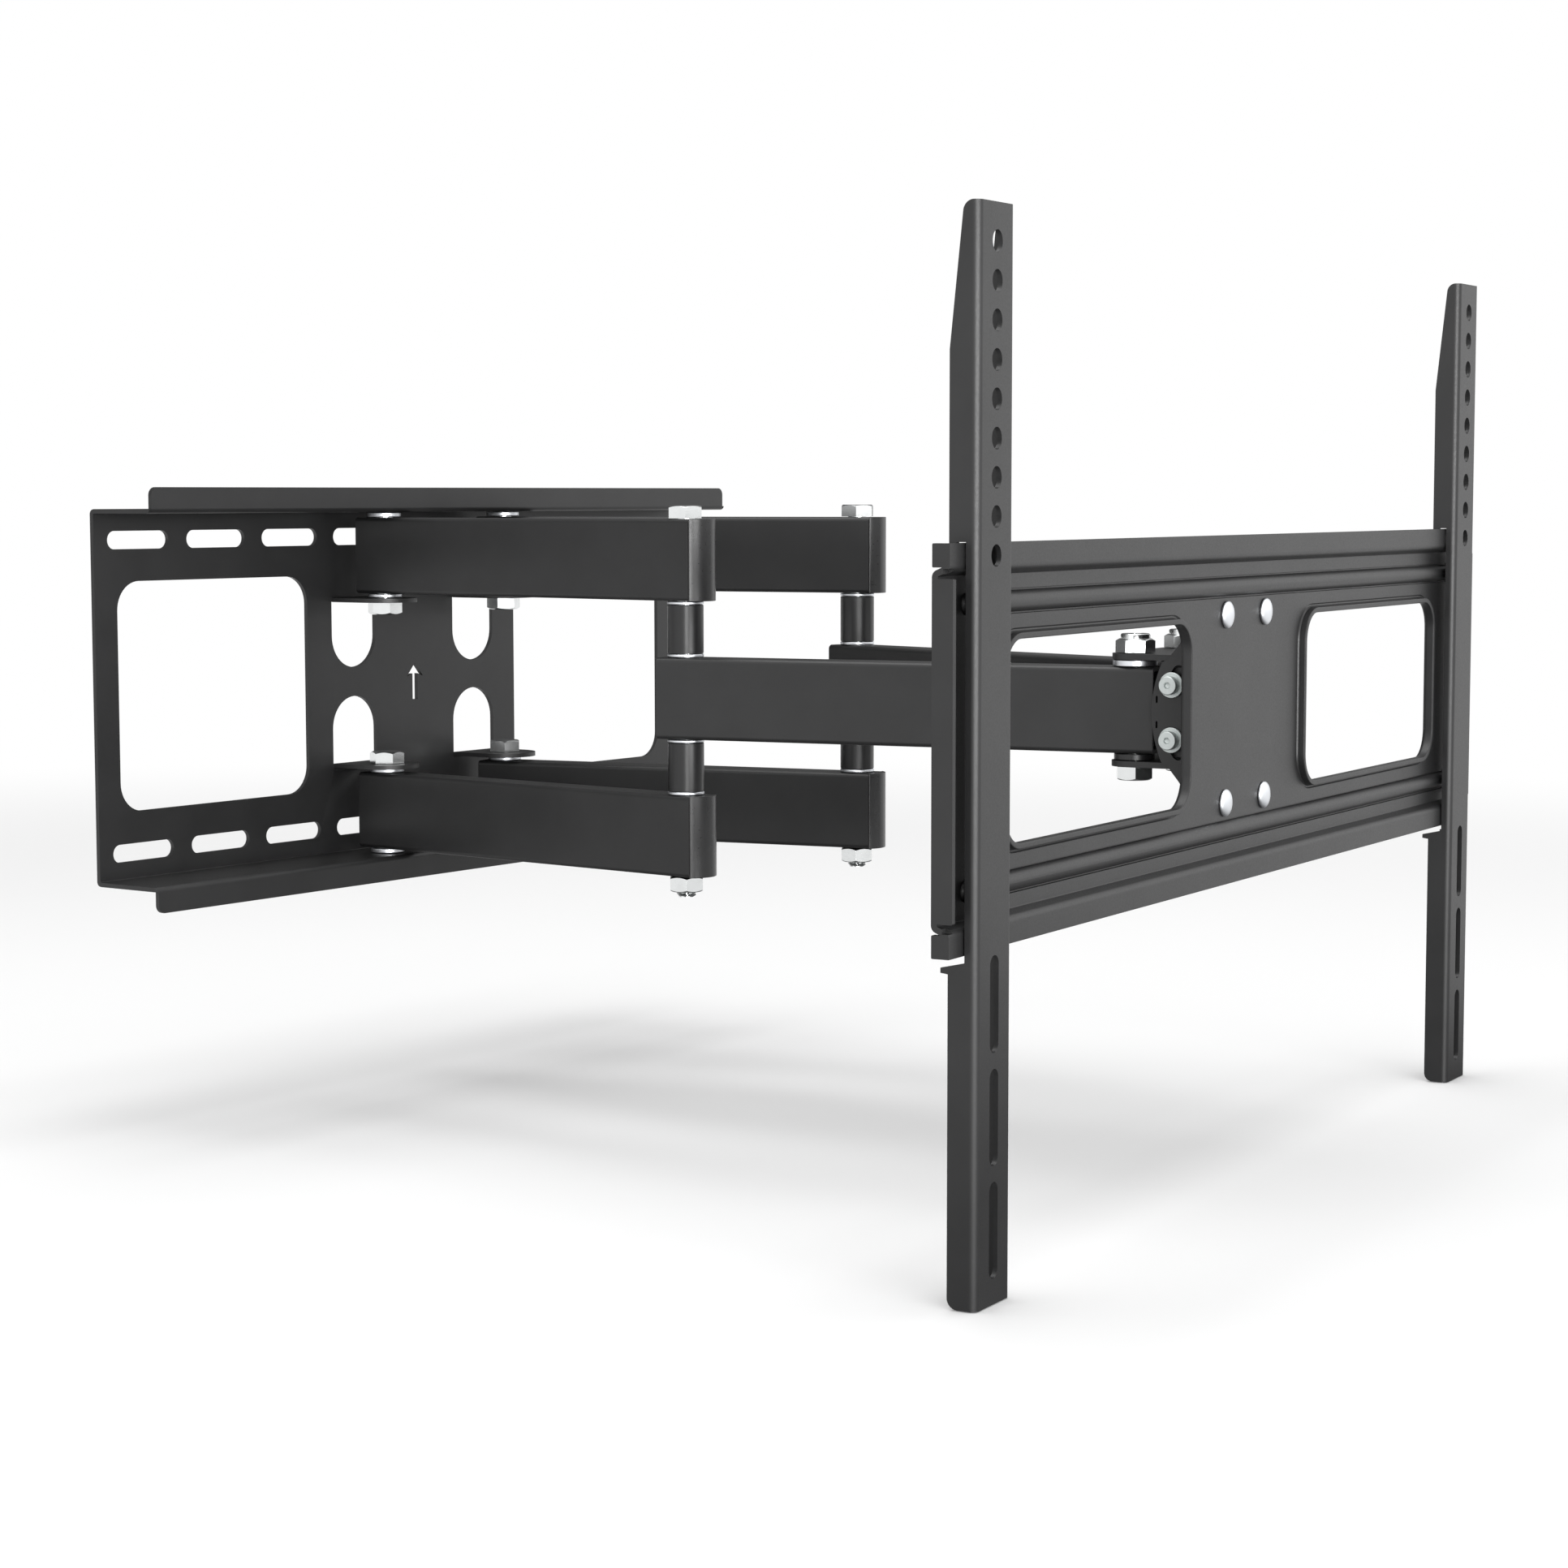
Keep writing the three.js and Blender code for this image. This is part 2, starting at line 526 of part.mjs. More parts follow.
function addHead() {
  addMesh(head, 'head_bracket', headBracket(), COAT);
  const ear = EAR_LEVEL + HEAD_SHEET;
  const tubeTop = TUBE_HEIGHT / 2;
  for (const side of [-1, 1]) {
    const name = side < 0 ? 'left' : 'right';
    const group = new THREE.Group();
    group.position.set(side * HEAD_PIVOT_X, HEAD_PIVOT_Y, 0);
    head.add(group);
    const lowHead = hexagon(-ear - GAP - HEAD_HEIGHT, -ear - GAP, true, false);
    const nut = hexagon(ear + GAP, ear + GAP + LOCK_NUT_HEIGHT, false, true);
    const nutBore = pillar(0, 0, ear, ear + LOCK_NUT_HEIGHT + 2, BORE_RADIUS - 0.1);
    if (side < 0) {
      addMesh(group, 'head_bolt_left', lowHead.add(shank(-ear - 1, ear + LOCK_NUT_HEIGHT - 1.5)), ZINC);
      addMesh(group, 'head_nut_left', nut.subtract(nutBore), ZINC);
    } else {
      // the right pivot is open: its bolt is two stubs that stop short of the tube
      const low = shank(-ear - 1, -tubeTop - GAP);
      const high = flipped(shank(-ear - 4, -tubeTop - GAP));
      addMesh(group, 'head_bolt_right_lower', lowHead.add(low), ZINC);
      addMesh(group, 'head_bolt_right_upper', nut.add(high), ZINC);
    }
    addMesh(group, `head_washer_${name}`,
      ring(HEAD_WASHER_RADIUS, BORE_RADIUS, tubeTop + GAP, EAR_LEVEL - GAP), NICKEL);
    addMesh(group, `head_bush_${name}`,
      flipped(ring(HEAD_BUSH_RADIUS, BORE_RADIUS, tubeTop + GAP, EAR_LEVEL - GAP)), PLASTIC);
    for (const up of [-1, 1]) addTiltScrew(side, up, name);
  }
}

// Button of a socket screw with its washer, clamping the cheek to the head.
function addTiltScrew(side, up, name) {
  const tip = CHEEK_X - GAP - HEAD_SHEET - 2;
  const seat = CHEEK_X + SHEET + GAP;
  const { shank: thin, washer, button, socket, thickness, height } = SCREW_SIZE;
  const profile = [[0, tip], [thin, tip], [thin, seat], [washer, seat],
    [washer, seat + thickness], [button, seat + thickness], [button, seat + height - 0.6],
    [button - 0.5, seat + height], [socket, seat + height], [socket, seat + height / 2],
    [0, seat + height / 2]].map(([radius, level]) => new THREE.Vector2(radius, level));
  const geometry = new THREE.LatheGeometry(profile, 12);
  geometry.rotateZ(-90 * DEG);
  if (side < 0) geometry.rotateZ(180 * DEG);
  const screw = addMesh(head, `tilt_screw_${name}_${up > 0 ? 'upper' : 'lower'}`,
    toSolid(geometry), SCREW);
  screw.position.set(0, TILT_SCREW.y, up * TILT_SCREW.z);
}

// ---------------------------------------------------------------- tilt frame
function cheekShape() {
  const { foot, corner, heel, edge, bulge } = CHEEK;
  const base = WEB_FACE + SHEET + GAP + SHEET / 2;
  const upper = [[base, foot], corner, heel, edge];
  const shape = new THREE.Shape();
  shape.moveTo(...upper[0]);
  upper.slice(1).forEach(([y, z]) => shape.lineTo(y, z));
  shape.quadraticCurveTo(bulge, 0, edge[0], -edge[1]);
  upper.slice(0, -1).reverse().forEach(([y, z]) => shape.lineTo(y, -z));
  shape.closePath();
  return shape;
}

// Arc slot about the tilt axis, reaching past the screw towards the TV and a little inwards.
function tiltSlot(up) {
  const dy = TILT_SCREW.y - TILT_AXIS_Y;
  const radius = Math.hypot(dy, TILT_SCREW.z);
  const screw = Math.atan2(TILT_SCREW.z, dy);
  const from = screw - (TILT_RANGE + 0.2) * DEG;
  const to = screw + (TILT_RANGE + 7) * DEG;
  const half = 3.25;
  const shape = new THREE.Shape();
  const at = (r, a) => [TILT_AXIS_Y + r * Math.cos(a), r * Math.sin(a)];
  shape.absarc(TILT_AXIS_Y, 0, radius + half, from, to);
  shape.absarc(...at(radius, to), half, to, to + 180 * DEG);
  shape.absarc(TILT_AXIS_Y, 0, radius - half, to, from, true);
  shape.absarc(...at(radius, from), half, from + 180 * DEG, from + 360 * DEG);
  shape.closePath();
  return up > 0 ? shape : mirroredShape(shape);
}

function mirroredShape(shape) {
  const points = shape.getPoints(3).map((p) => new THREE.Vector2(p.x, -p.y));
  return new THREE.Shape(points.reverse());
}

function tiltFrame() {
  const front = WEB_FACE + SHEET + GAP;
  const half = CHEEK_X + SHEET;
  let solid = extrude(roundedRect(-half, half, -FRAME_HALF, FRAME_HALF, 2), 'y', front, SHEET, 1);
  for (const side of [-1, 1]) {
    const x0 = side > 0 ? CHEEK_X : -half;
    let cheek = extrude(cheekShape(), 'x', x0, SHEET, 6);
    for (const up of [-1, 1]) {
      const slit = slotShape(CHEEK_SLIT.y, up * CHEEK_SLIT.z, CHEEK_SLIT.length, CHEEK_SLIT.width,
        true);
      cheek = cheek.subtract(extrude(tiltSlot(up), 'x', x0 - 1, SHEET + 2, 3));
      cheek = cheek.subtract(extrude(slit, 'x', x0 - 1, SHEET + 2, 1));
    }
    solid = solid.add(cheek);
  }
  return rivetHoles().reduce((left, hole) => left.subtract(hole), solid);
}

// ---------------------------------------------------------------- TV plate
const bothWays = (draw) => [-1, 1].flatMap((side) => [-1, 1].map((up) => draw(side, up)));

function rivetHoles() {
  return bothWays((side, up) => {
    const hole = circleShape(side * RIVET.x, PLATE_LEVEL + up * RIVET.z, RIVET.hole);
    return extrude(hole, 'y', 0, 20, 5);
  });
}

// The plate is drawn about its own centre and lifted to its level at the end.
function tvPlate() {
  const lip = LIP_FACE + SHEET / 2;
  const web = WEB_FACE + SHEET / 2;
  const step = 0.01;
  const section = bentSheet([[lip, PLATE_TOP], [lip, WEB_EDGE], [web, WEB_EDGE - step],
    [web, -WEB_EDGE + step], [lip, -WEB_EDGE], [lip, -PLATE_TOP]], SHEET, 0.6, 3);
  let plate = extrude(section, 'x', -PLATE_HALF, 2 * PLATE_HALF);
  for (const up of [-1, 1]) plate = plate.add(bead(up, BEAD.radius, WEB_FACE + 0.8));
  for (const side of [-1, 1]) {
    const { inner, outer, half, radius } = PLATE_WINDOW;
    const [x0, x1] = side < 0 ? [-outer, -inner] : [inner, outer];
    const t = RIM.thickness;
    const rim = roundedRect(x0 - t, x1 + t, -half - t, half + t, radius + t);
    plate = plate.add(extrude(rim, 'y', WEB_FACE - RIM.height, RIM.height + 1));
    plate = plate.subtract(extrude(roundedRect(x0, x1, -half, half, radius), 'y', 0, 20));
  }
  for (const up of [-1, 1]) {
    plate = plate.subtract(bead(up, BEAD.hollow, WEB_FACE + SHEET + GAP));
  }
  for (const side of [-1, 1]) plate = plateEnd(plate, side);
  const lifted = plate.translate([0, 0, PLATE_LEVEL]);
  return rivetHoles().reduce((left, hole) => left.subtract(hole), lifted);
}

// End of the plate: relief cuts, tabs bent back from the lips, a stop bent forward between.
function plateEnd(plate, side) {
  const end = side * PLATE_HALF;
  const x0 = side > 0 ? PLATE_HALF - SHEET : -PLATE_HALF;
  const { level, half, length } = RELIEF;
  const cut = extrude(roundedRect(Math.min(end, end - side * length),
    Math.max(end, end - side * length), level - half, level + half, GAP), 'y', 0,
  LIP_FACE + SHEET + 0.6, 1);
  const tab = extrude(roundedRect(LIP_FACE + 0.05, TAB.depth, TAB.low, PLATE_TOP, 0.4), 'x', x0,
    SHEET, 1);
  const stop = extrude(roundedRect(STOP.face, WEB_FACE + SHEET - 0.05, -STOP.half, STOP.half, 0.4),
    'x', x0, SHEET, 1);
  return plate.subtract(cut).subtract(flipped(cut)).add(tab).add(flipped(tab)).add(stop);
}

// Half-round bead pressed along the plate.
function bead(up, radius, y) {
  const geometry = new THREE.CapsuleGeometry(radius, 2 * (BEAD.half - radius), 3, 10);
  geometry.rotateZ(90 * DEG);
  geometry.translate(0, y, up * BEAD.level);
  return toSolid(geometry);
}

function addRivets(parent) {
  const base = -(WEB_FACE - GAP);
  const profile = [[0, -RIVET.tail], [RIVET.shank, -RIVET.tail], [RIVET.shank, base]]
    .map(([radius, level]) => new THREE.Vector2(radius, level));
  const steps = 3;
  for (let i = 0; i < steps; i += 1) {
    const a = (i / steps) * 90 * DEG;
    profile.push(new THREE.Vector2(RIVET.radius * Math.cos(a), base + RIVET.height * Math.sin(a)));
  }
  profile.push(new THREE.Vector2(0, base + RIVET.height));
  bothWays((side, up) => {
    const geometry = new THREE.LatheGeometry(profile, 12);
    geometry.rotateX(180 * DEG);
    const tag = `${side < 0 ? 'left' : 'right'}_${up > 0 ? 'upper' : 'lower'}`;
    const rivet = addMesh(parent, `rivet_${tag}`, toSolid(geometry), NICKEL);
    return rivet.position.set(side * RIVET.x, 0, PLATE_LEVEL + up * RIVET.z);
  });
}

// ---------------------------------------------------------------- VESA rails
// U-channel: face to the TV, two flanges back, notched to ride on the TV plate.
function rail() {
  const w = RAIL_WIDTH / 2;
  const top = RAIL_LENGTH / 2;
  const t = RAIL_SHEET;
  const section = bentSheet([[-w + t / 2, RAIL_DEPTH], [-w + t / 2, t / 2],
    [w - t / 2, t / 2], [w - t / 2, RAIL_DEPTH]], t, 1);
  let solid = extrude(section, 'z', -top, RAIL_LENGTH);
  solid = solid.translate([0, 0, -RAIL_DROP]);

  const z = (fromTop) => top - RAIL_DROP - fromTop;
  for (let i = 0; i < RAIL_HOLES; i += 1) {
    const hole = circleShape(0, z(RAIL_FIRST_HOLE + i * RAIL_HOLE_PITCH), RAIL_HOLE_RADIUS);
    solid = solid.subtract(extrude(hole, 'y', -1, t + 2, 6));
  }
  for (let i = 0; i < RAIL_SLOTS; i += 1) {
    const centre = z(RAIL_SLOT.first + i * RAIL_SLOT.pitch);
    const slot = slotShape(0, centre, RAIL_SLOT.length, RAIL_SLOT.width, true);
    solid = solid.subtract(extrude(slot, 'y', -1, t + 2));
  }
  return solid.intersect(extrude(flangeOutline(), 'x', -w - 1, RAIL_WIDTH + 2));
}

// Side view of the flanges: tapered top, round rear corners, notch, top hooks and lower finger.
function flangeOutline() {
  const top = RAIL_LENGTH / 2 - RAIL_DROP;
  const low = -RAIL_LENGTH / 2 - RAIL_DROP;
  const hook = LIP_FACE + SHEET + 0.7;
  const shape = new THREE.Shape();
  shape.moveTo(-1, low);
  shape.lineTo(-1, top);
  shape.lineTo(RAIL_TAPER.depth - RAIL_CORNER, top);
  shape.quadraticCurveTo(RAIL_TAPER.depth, top, RAIL_TAPER.depth, top - RAIL_CORNER);
  shape.lineTo(RAIL_DEPTH, RAIL_TAPER.level);
  shape.lineTo(RAIL_DEPTH, NOTCH.hook);
  shape.lineTo(hook, NOTCH.hook);
  shape.lineTo(hook, NOTCH.half);
  shape.lineTo(NOTCH.depth, NOTCH.half);
  shape.lineTo(NOTCH.depth, -NOTCH.half);
  shape.lineTo(RAIL_DEPTH, NOTCH.foot);
  shape.lineTo(RAIL_DEPTH, low + RAIL_CORNER);
  shape.quadraticCurveTo(RAIL_DEPTH, low, RAIL_DEPTH - RAIL_CORNER, low);
  shape.closePath();
  return shape;
}

// Finger at each flange that reaches back under the TV plate's lower edge.
function fingers() {
  const { top, tipTop, tipLow, low, reach } = FINGER;
  const inner = NOTCH.depth - 1;
  const shape = polygon([[inner, top], [NOTCH.depth + 0.6, top], [reach, tipTop],
    [reach, tipLow], [inner, low]]);
  const w = RAIL_WIDTH / 2;
  return [-w, w - RAIL_SHEET].map((x) => extrude(shape, 'x', x, RAIL_SHEET, 2));
}

// ---------------------------------------------------------------- assembly
addMesh(root, 'wall_plate', wallPlate(), COAT);
for (const side of [-1, 1]) {
  for (const up of [-1, 1]) addWallPivot(side, up);
}
addInnerArm(-1, LEFT_INNER_ANGLE);
addInnerArm(1, right.innerAngle / DEG);
addOuterArm('left', leftElbow, LEFT_OUTER_ANGLE * DEG);
addOuterArm('right', right.elbow, right.outerAngle);
addHead();
addMesh(head, 'tilt_frame', tiltFrame(), COAT);
addMesh(head, 'tv_plate', tvPlate(), COAT);
addRivets(head);
const railSolid = fingers().reduce((solid, finger) => solid.add(finger), rail());
for (const side of [-1, 1]) {
  const mesh = addMesh(head, `rail_${side < 0 ? 'left' : 'right'}`, railSolid, COAT);
  mesh.position.x = side * RAIL_X;
}

export default root;
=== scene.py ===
"""Looks of the full motion TV wall mount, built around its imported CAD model.

Shapes are drawn in millimetres in the frame of the piece they belong to, and are put in
place, in metres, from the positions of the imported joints.
"""
import json
import math

import bmesh
import bpy
from mathutils import Matrix, Vector


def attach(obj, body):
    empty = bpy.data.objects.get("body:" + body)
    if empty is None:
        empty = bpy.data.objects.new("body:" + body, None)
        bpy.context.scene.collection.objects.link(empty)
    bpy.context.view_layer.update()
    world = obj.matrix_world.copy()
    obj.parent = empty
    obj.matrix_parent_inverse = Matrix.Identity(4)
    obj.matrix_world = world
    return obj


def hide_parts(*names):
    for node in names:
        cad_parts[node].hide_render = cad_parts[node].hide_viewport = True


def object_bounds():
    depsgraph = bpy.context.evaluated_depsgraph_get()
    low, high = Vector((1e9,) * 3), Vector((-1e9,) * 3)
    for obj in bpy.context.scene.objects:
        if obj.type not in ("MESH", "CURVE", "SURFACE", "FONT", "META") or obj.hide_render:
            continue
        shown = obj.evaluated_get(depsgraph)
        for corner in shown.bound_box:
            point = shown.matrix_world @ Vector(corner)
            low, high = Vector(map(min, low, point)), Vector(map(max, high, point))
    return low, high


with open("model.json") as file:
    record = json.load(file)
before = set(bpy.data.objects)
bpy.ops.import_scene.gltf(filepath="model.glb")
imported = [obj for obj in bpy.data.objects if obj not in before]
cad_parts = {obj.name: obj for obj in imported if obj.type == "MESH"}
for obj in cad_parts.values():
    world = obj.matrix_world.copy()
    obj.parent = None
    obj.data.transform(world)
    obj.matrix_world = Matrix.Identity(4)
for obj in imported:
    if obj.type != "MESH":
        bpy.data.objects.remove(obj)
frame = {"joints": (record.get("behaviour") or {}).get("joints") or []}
CAD_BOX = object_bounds()

MM = 0.001
SIDES = {"left": -1, "right": 1}
LEVELS = {"upper": 1, "lower": -1}

# ------------------------------------------------------------------ dimensions, millimetres
SHEET = 2.5
GAP = 0.3

WALL_SHEET = 2.2
WALL_HALF = 233
FLANGE = 92.9
FLANGE_DEPTH = 41.5
LIP_HEIGHT = 10.6
LIP_INSET = 1.5
SLOT_LEVEL = 77.6
SLOT_FIRST = 203.5
SLOT_PITCH = 53.5
SLOT_LONG = 41
SLOT_WIDE = 9
WALL_WINDOW = dict(inner=84, outer=218.2, half=57.2, radius=14.5)
PIVOT_DEPTH = 25
EAR_HALF = 17
EAR_TOP = 45.2
EAR_HOLE_TIP = 7.8
WALL_PIVOT_X = 48.5

TUBE_HEIGHT = 40
TUBE_WIDTH = 20
TUBE_WALL = 2
TUBE_END = 11.5
CAP = dict(start=10.3, flank=0.5, bulge=4.4)
UPPER_LEVEL = 67.75
INNER_LENGTH = 211
OUTER_LENGTH = 229.5
BORE = 5.3
THREAD = 4.9
HEX_FLATS = 16
HEAD_HEIGHT = 6.2
NUT_HEIGHT = 7.6
WASHER = 9
ELBOW_WASHER_THICK = 1.4
SPACER = 8.9

HEAD_PIVOT_X = 28.5
HEAD_PIVOT_Y = 54.2
HEAD_SHEET = 2.7
HEAD_WEB_BACK = 22
HEAD_EAR_RADIUS = 10.6
HEAD_FLANGE = dict(half=20.5, reach=37.6, start=26)
HEAD_WASHER = 10.4
HEAD_BUSH = 9.5
LOCK_NUT = dict(height=8.8, collar=2.4)
EAR_LEVEL = 23.5
CHEEK_X = 39.5
TILT_SCREW = Vector((29.9, 12.6))
TILT_SCREW_BORE = 3.2
TILT_RANGE = 5

RAIL_TOP = 210.7
RAIL_LOW = -218.3
RAIL_WIDTH = 31
RAIL_SHEET = 2
RAIL_DEPTH = 12.6
RAIL_X = 286
RAIL_HOLE = dict(first=14.8, pitch=15, radius=4.35, count=9)
RAIL_SLOT = dict(first=309.5, pitch=44.9, long=38.6, wide=7.6, count=3)
NOTCH = 5.4

PLATE_LEVEL = 1.2
PLATE_HALF = 313.7
PLATE_TOP = 79.7
LIP_FACE = 6
WEB_FACE = 11.2
WEB_EDGE = 69
BEAD_LEVEL = 56
BEAD_HALF = 292
BEAD_ROUND = 3.4
PLATE_WINDOW = dict(inner=71.8, outer=260, half=40.9, radius=14)
RIM_HEIGHT = 3.4
RIM_THICK = 2.6
TAB_START = 70.5
STOP_HALF = 66.2
RIVET = dict(x=23.8, z=43.3, radius=6.4, height=2.6, shank=3.1, bore=3.4)


# ------------------------------------------------------------------ outlines
def arc(cx, cy, radius, start, end, steps=8):
    turns = [math.radians(start + (end - start) * k / steps) for k in range(steps + 1)]
    return [(cx + radius * math.cos(a), cy + radius * math.sin(a)) for a in turns]


def circle(cx, cy, radius, steps=48):
    return arc(cx, cy, radius, 0, 360, steps)[:-1]


def rounded(x0, x1, y0, y1, radius, steps=8):
    return (arc(x1 - radius, y1 - radius, radius, 0, 90, steps)
            + arc(x0 + radius, y1 - radius, radius, 90, 180, steps)
            + arc(x0 + radius, y0 + radius, radius, 180, 270, steps)
            + arc(x1 - radius, y0 + radius, radius, 270, 360, steps))


def slot(x, y, long, wide, vertical=False):
    half_x, half_y = (wide / 2, long / 2) if vertical else (long / 2, wide / 2)
    return rounded(x - half_x, x + half_x, y - half_y, y + half_y, wide / 2 - 0.02, 10)


def flipped(outline):
    return [(a, -b) for a, b in reversed(outline)]


def bent(path, thickness, inner=1.2, steps=8):
    """Section of a sheet whose middle follows a path, with a round bend at each corner."""
    points = [Vector(p) for p in path]
    half = thickness / 2
    first, last = (points[1] - points[0]).normalized(), (points[-1] - points[-2]).normalized()
    left = [points[0] + half * first.orthogonal()]
    right = [points[0] - half * first.orthogonal()]
    for before, corner, after in zip(points, points[1:], points[2:]):
        ahead, away = (corner - before).normalized(), (after - corner).normalized()
        turn = math.atan2(ahead.cross(away), ahead.dot(away))
        side = math.copysign(1, turn)
        radius = inner + half
        start = corner - ahead * radius * math.tan(abs(turn) / 2)
        centre = start + side * radius * ahead.orthogonal()
        for k in range(steps + 1):
            spoke = Matrix.Rotation(turn * k / steps, 2) @ (start - centre).normalized()
            left.append(centre + spoke * (radius - side * half))
            right.append(centre + spoke * (radius + side * half))
    left.append(points[-1] + half * last.orthogonal())
    right.append(points[-1] - half * last.orthogonal())
    return [tuple(p) for p in left + right[::-1]]


# ------------------------------------------------------------------ solids
PUT = {
    "x": lambda a, b, t: (t, a, b),
    "y": lambda a, b, t: (a, t, b),
    "z": lambda a, b, t: (a, b, t),
}


def loft(loops, ring=False):
    """Solid through closed loops of equal length; a ring joins its last loop to its first."""
    bm = bmesh.new()
    rows = [[bm.verts.new(p) for p in loop] for loop in loops]
    count = len(rows[0])
    pairs = list(zip(rows, rows[1:])) + ([(rows[-1], rows[0])] if ring else [])
    for low, high in pairs:
        for i in range(count):
            j = (i + 1) % count
            bm.faces.new((low[i], low[j], high[j], high[i]))
    if not ring:
        bm.faces.new(rows[0])
        bm.faces.new(rows[-1])
    return to_object(bm)


def prism(outline, axis, start, depth):
    put = PUT[axis]
    return loft([[put(a, b, t) for a, b in outline] for t in (start, start + depth)])


def turned(profile, steps=48):
    """Solid of a closed profile of (radius, height) points turned about the Z axis."""
    bm = bmesh.new()
    rows = []
    for radius, height in profile:
        if radius < 1e-6:
            rows.append([bm.verts.new((0, 0, height))] * steps)
        else:
            rows.append([bm.verts.new((x, y, height)) for x, y in circle(0, 0, radius, steps)])
    for low, high in zip(rows, rows[1:] + rows[:1]):
        for i in range(steps):
            j = (i + 1) % steps
            corners = list(dict.fromkeys((low[i], low[j], high[j], high[i])))
            if len(corners) > 2:
                bm.faces.new(corners)
    return to_object(bm)


def to_object(bm):
    bmesh.ops.recalc_face_normals(bm, faces=bm.faces)
    mesh = bpy.data.meshes.new("shape")
    bm.to_mesh(mesh)
    bm.free()
    shape = bpy.data.objects.new("shape", mesh)
    bpy.context.scene.collection.objects.link(shape)
    return shape


def moved(shape, *offset):
    shape.data.transform(Matrix.Translation(offset))
    return shape


def mirrored(shape, axis):
    flip = Matrix.Identity(4)
    flip["xyz".index(axis)]["xyz".index(axis)] = -1
    shape.data.transform(flip)
    shape.data.flip_normals()
    return shape


def combined(base, operation, *others):
    """The base solid cut by, joined to or trimmed to each of the others."""
    for other in others:
        change = base.modifiers.new("change", "BOOLEAN")
        change.operation = operation
        change.solver = "MANIFOLD"
        change.object = other
        result = bpy.data.meshes.new_from_object(
            base.evaluated_get(bpy.context.evaluated_depsgraph_get()))
        base.modifiers.clear()
        base.data = result
        bpy.data.objects.remove(other)
    return base


def cut(base, *others):
    return combined(base, "DIFFERENCE", *others)


def add(base, *others):
    return combined(base, "UNION", *others)


def trim(base, *others):
    return combined(base, "INTERSECT", *others)


# ------------------------------------------------------------------ places
joints = {joint["name"]: joint for joint in frame["joints"]}


def pivot(name):
    return Vector(joints[name]["pos_m"]) / MM


def link(start, end):
    """Place with its origin at start and its -Y axis running to end."""
    run = end - start
    return Matrix.Translation(start) @ Matrix.Rotation(math.atan2(run.x, -run.y), 4, "Z")


across = Vector(joints["tilt"]["axis"])
HEAD = Matrix.Translation(pivot("tilt")) @ Matrix.Rotation(math.atan2(across.y, across.x), 4, "Z")
right_wrist = HEAD @ Vector((HEAD_PIVOT_X, HEAD_PIVOT_Y, 0))
WALL = Matrix.Identity(4)
PLACES = {
    "left_inner_arm": link(pivot("fold"), pivot("left_elbow")),
    "left_outer_arm": link(pivot("left_elbow"), pivot("left_wrist")),
    "right_inner_arm": link(pivot("right_shoulder"), pivot("right_elbow")),
    "right_outer_arm": link(pivot("right_elbow"), right_wrist),
}


# ------------------------------------------------------------------ materials
def new_material(name, color, metallic, roughness):
    material = bpy.data.materials.new(name)
    material.use_nodes = True
    nodes = material.node_tree.nodes
    shader = nodes["Principled BSDF"]
    shader.inputs["Base Color"].default_value = (*color, 1)
    shader.inputs["Metallic"].default_value = metallic
    shader.inputs["Roughness"].default_value = roughness
    return material, material.node_tree, shader


def noise(tree, scale, detail=3, stretch=(1, 1, 1)):
    """Noise over the piece's own coordinates; scale is in cells per metre."""
    place = tree.nodes.new("ShaderNodeTexCoord")
    mapping = tree.nodes.new("ShaderNodeMapping")
    mapping.inputs["Scale"].default_value = stretch
    texture = tree.nodes.new("ShaderNodeTexNoise")
    texture.inputs["Scale"].default_value = scale
    texture.inputs["Detail"].default_value = detail
    tree.links.new(place.outputs["Object"], mapping.inputs["Vector"])
    tree.links.new(mapping.outputs["Vector"], texture.inputs["Vector"])
    return texture.outputs["Fac"]


def ranged(tree, value, low, high):
    node = tree.nodes.new("ShaderNodeMapRange")
    node.inputs["From Min"].default_value = 0.3
    node.inputs["From Max"].default_value = 0.7
    node.inputs["To Min"].default_value = low
    node.inputs["To Max"].default_value = high
    tree.links.new(value, node.inputs["Value"])
    return node.outputs["Result"]


def tinted(tree, value, dark, light):
    ramp = tree.nodes.new("ShaderNodeValToRGB")
    ramp.color_ramp.elements[0].position = 0.3
    ramp.color_ramp.elements[1].position = 0.7
    ramp.color_ramp.elements[0].color = (*dark, 1)
    ramp.color_ramp.elements[1].color = (*light, 1)
    tree.links.new(value, ramp.inputs["Fac"])
    return ramp.outputs["Color"]


def bumped(tree, value, strength, distance, shader):
    bump = tree.nodes.new("ShaderNodeBump")
    bump.inputs["Strength"].default_value = strength
    bump.inputs["Distance"].default_value = distance
    tree.links.new(value, bump.inputs["Height"])
    tree.links.new(bump.outputs["Normal"], shader.inputs["Normal"])


def powder_coat():
    """Black powder coat: a fine grain, a slight mottle and a satin sheen."""
    material, tree, shader = new_material("black_coat", (0.013, 0.013, 0.0133), 0.0, 0.42)
    mottle = noise(tree, 38, 4)
    tree.links.new(tinted(tree, mottle, (0.011, 0.011, 0.0113), (0.015, 0.015, 0.0154)),
                   shader.inputs["Base Color"])
    grain = noise(tree, 1400, 2)
    tree.links.new(ranged(tree, grain, 0.37, 0.46), shader.inputs["Roughness"])
    bumped(tree, grain, 0.05, 0.0002, shader)
    return material


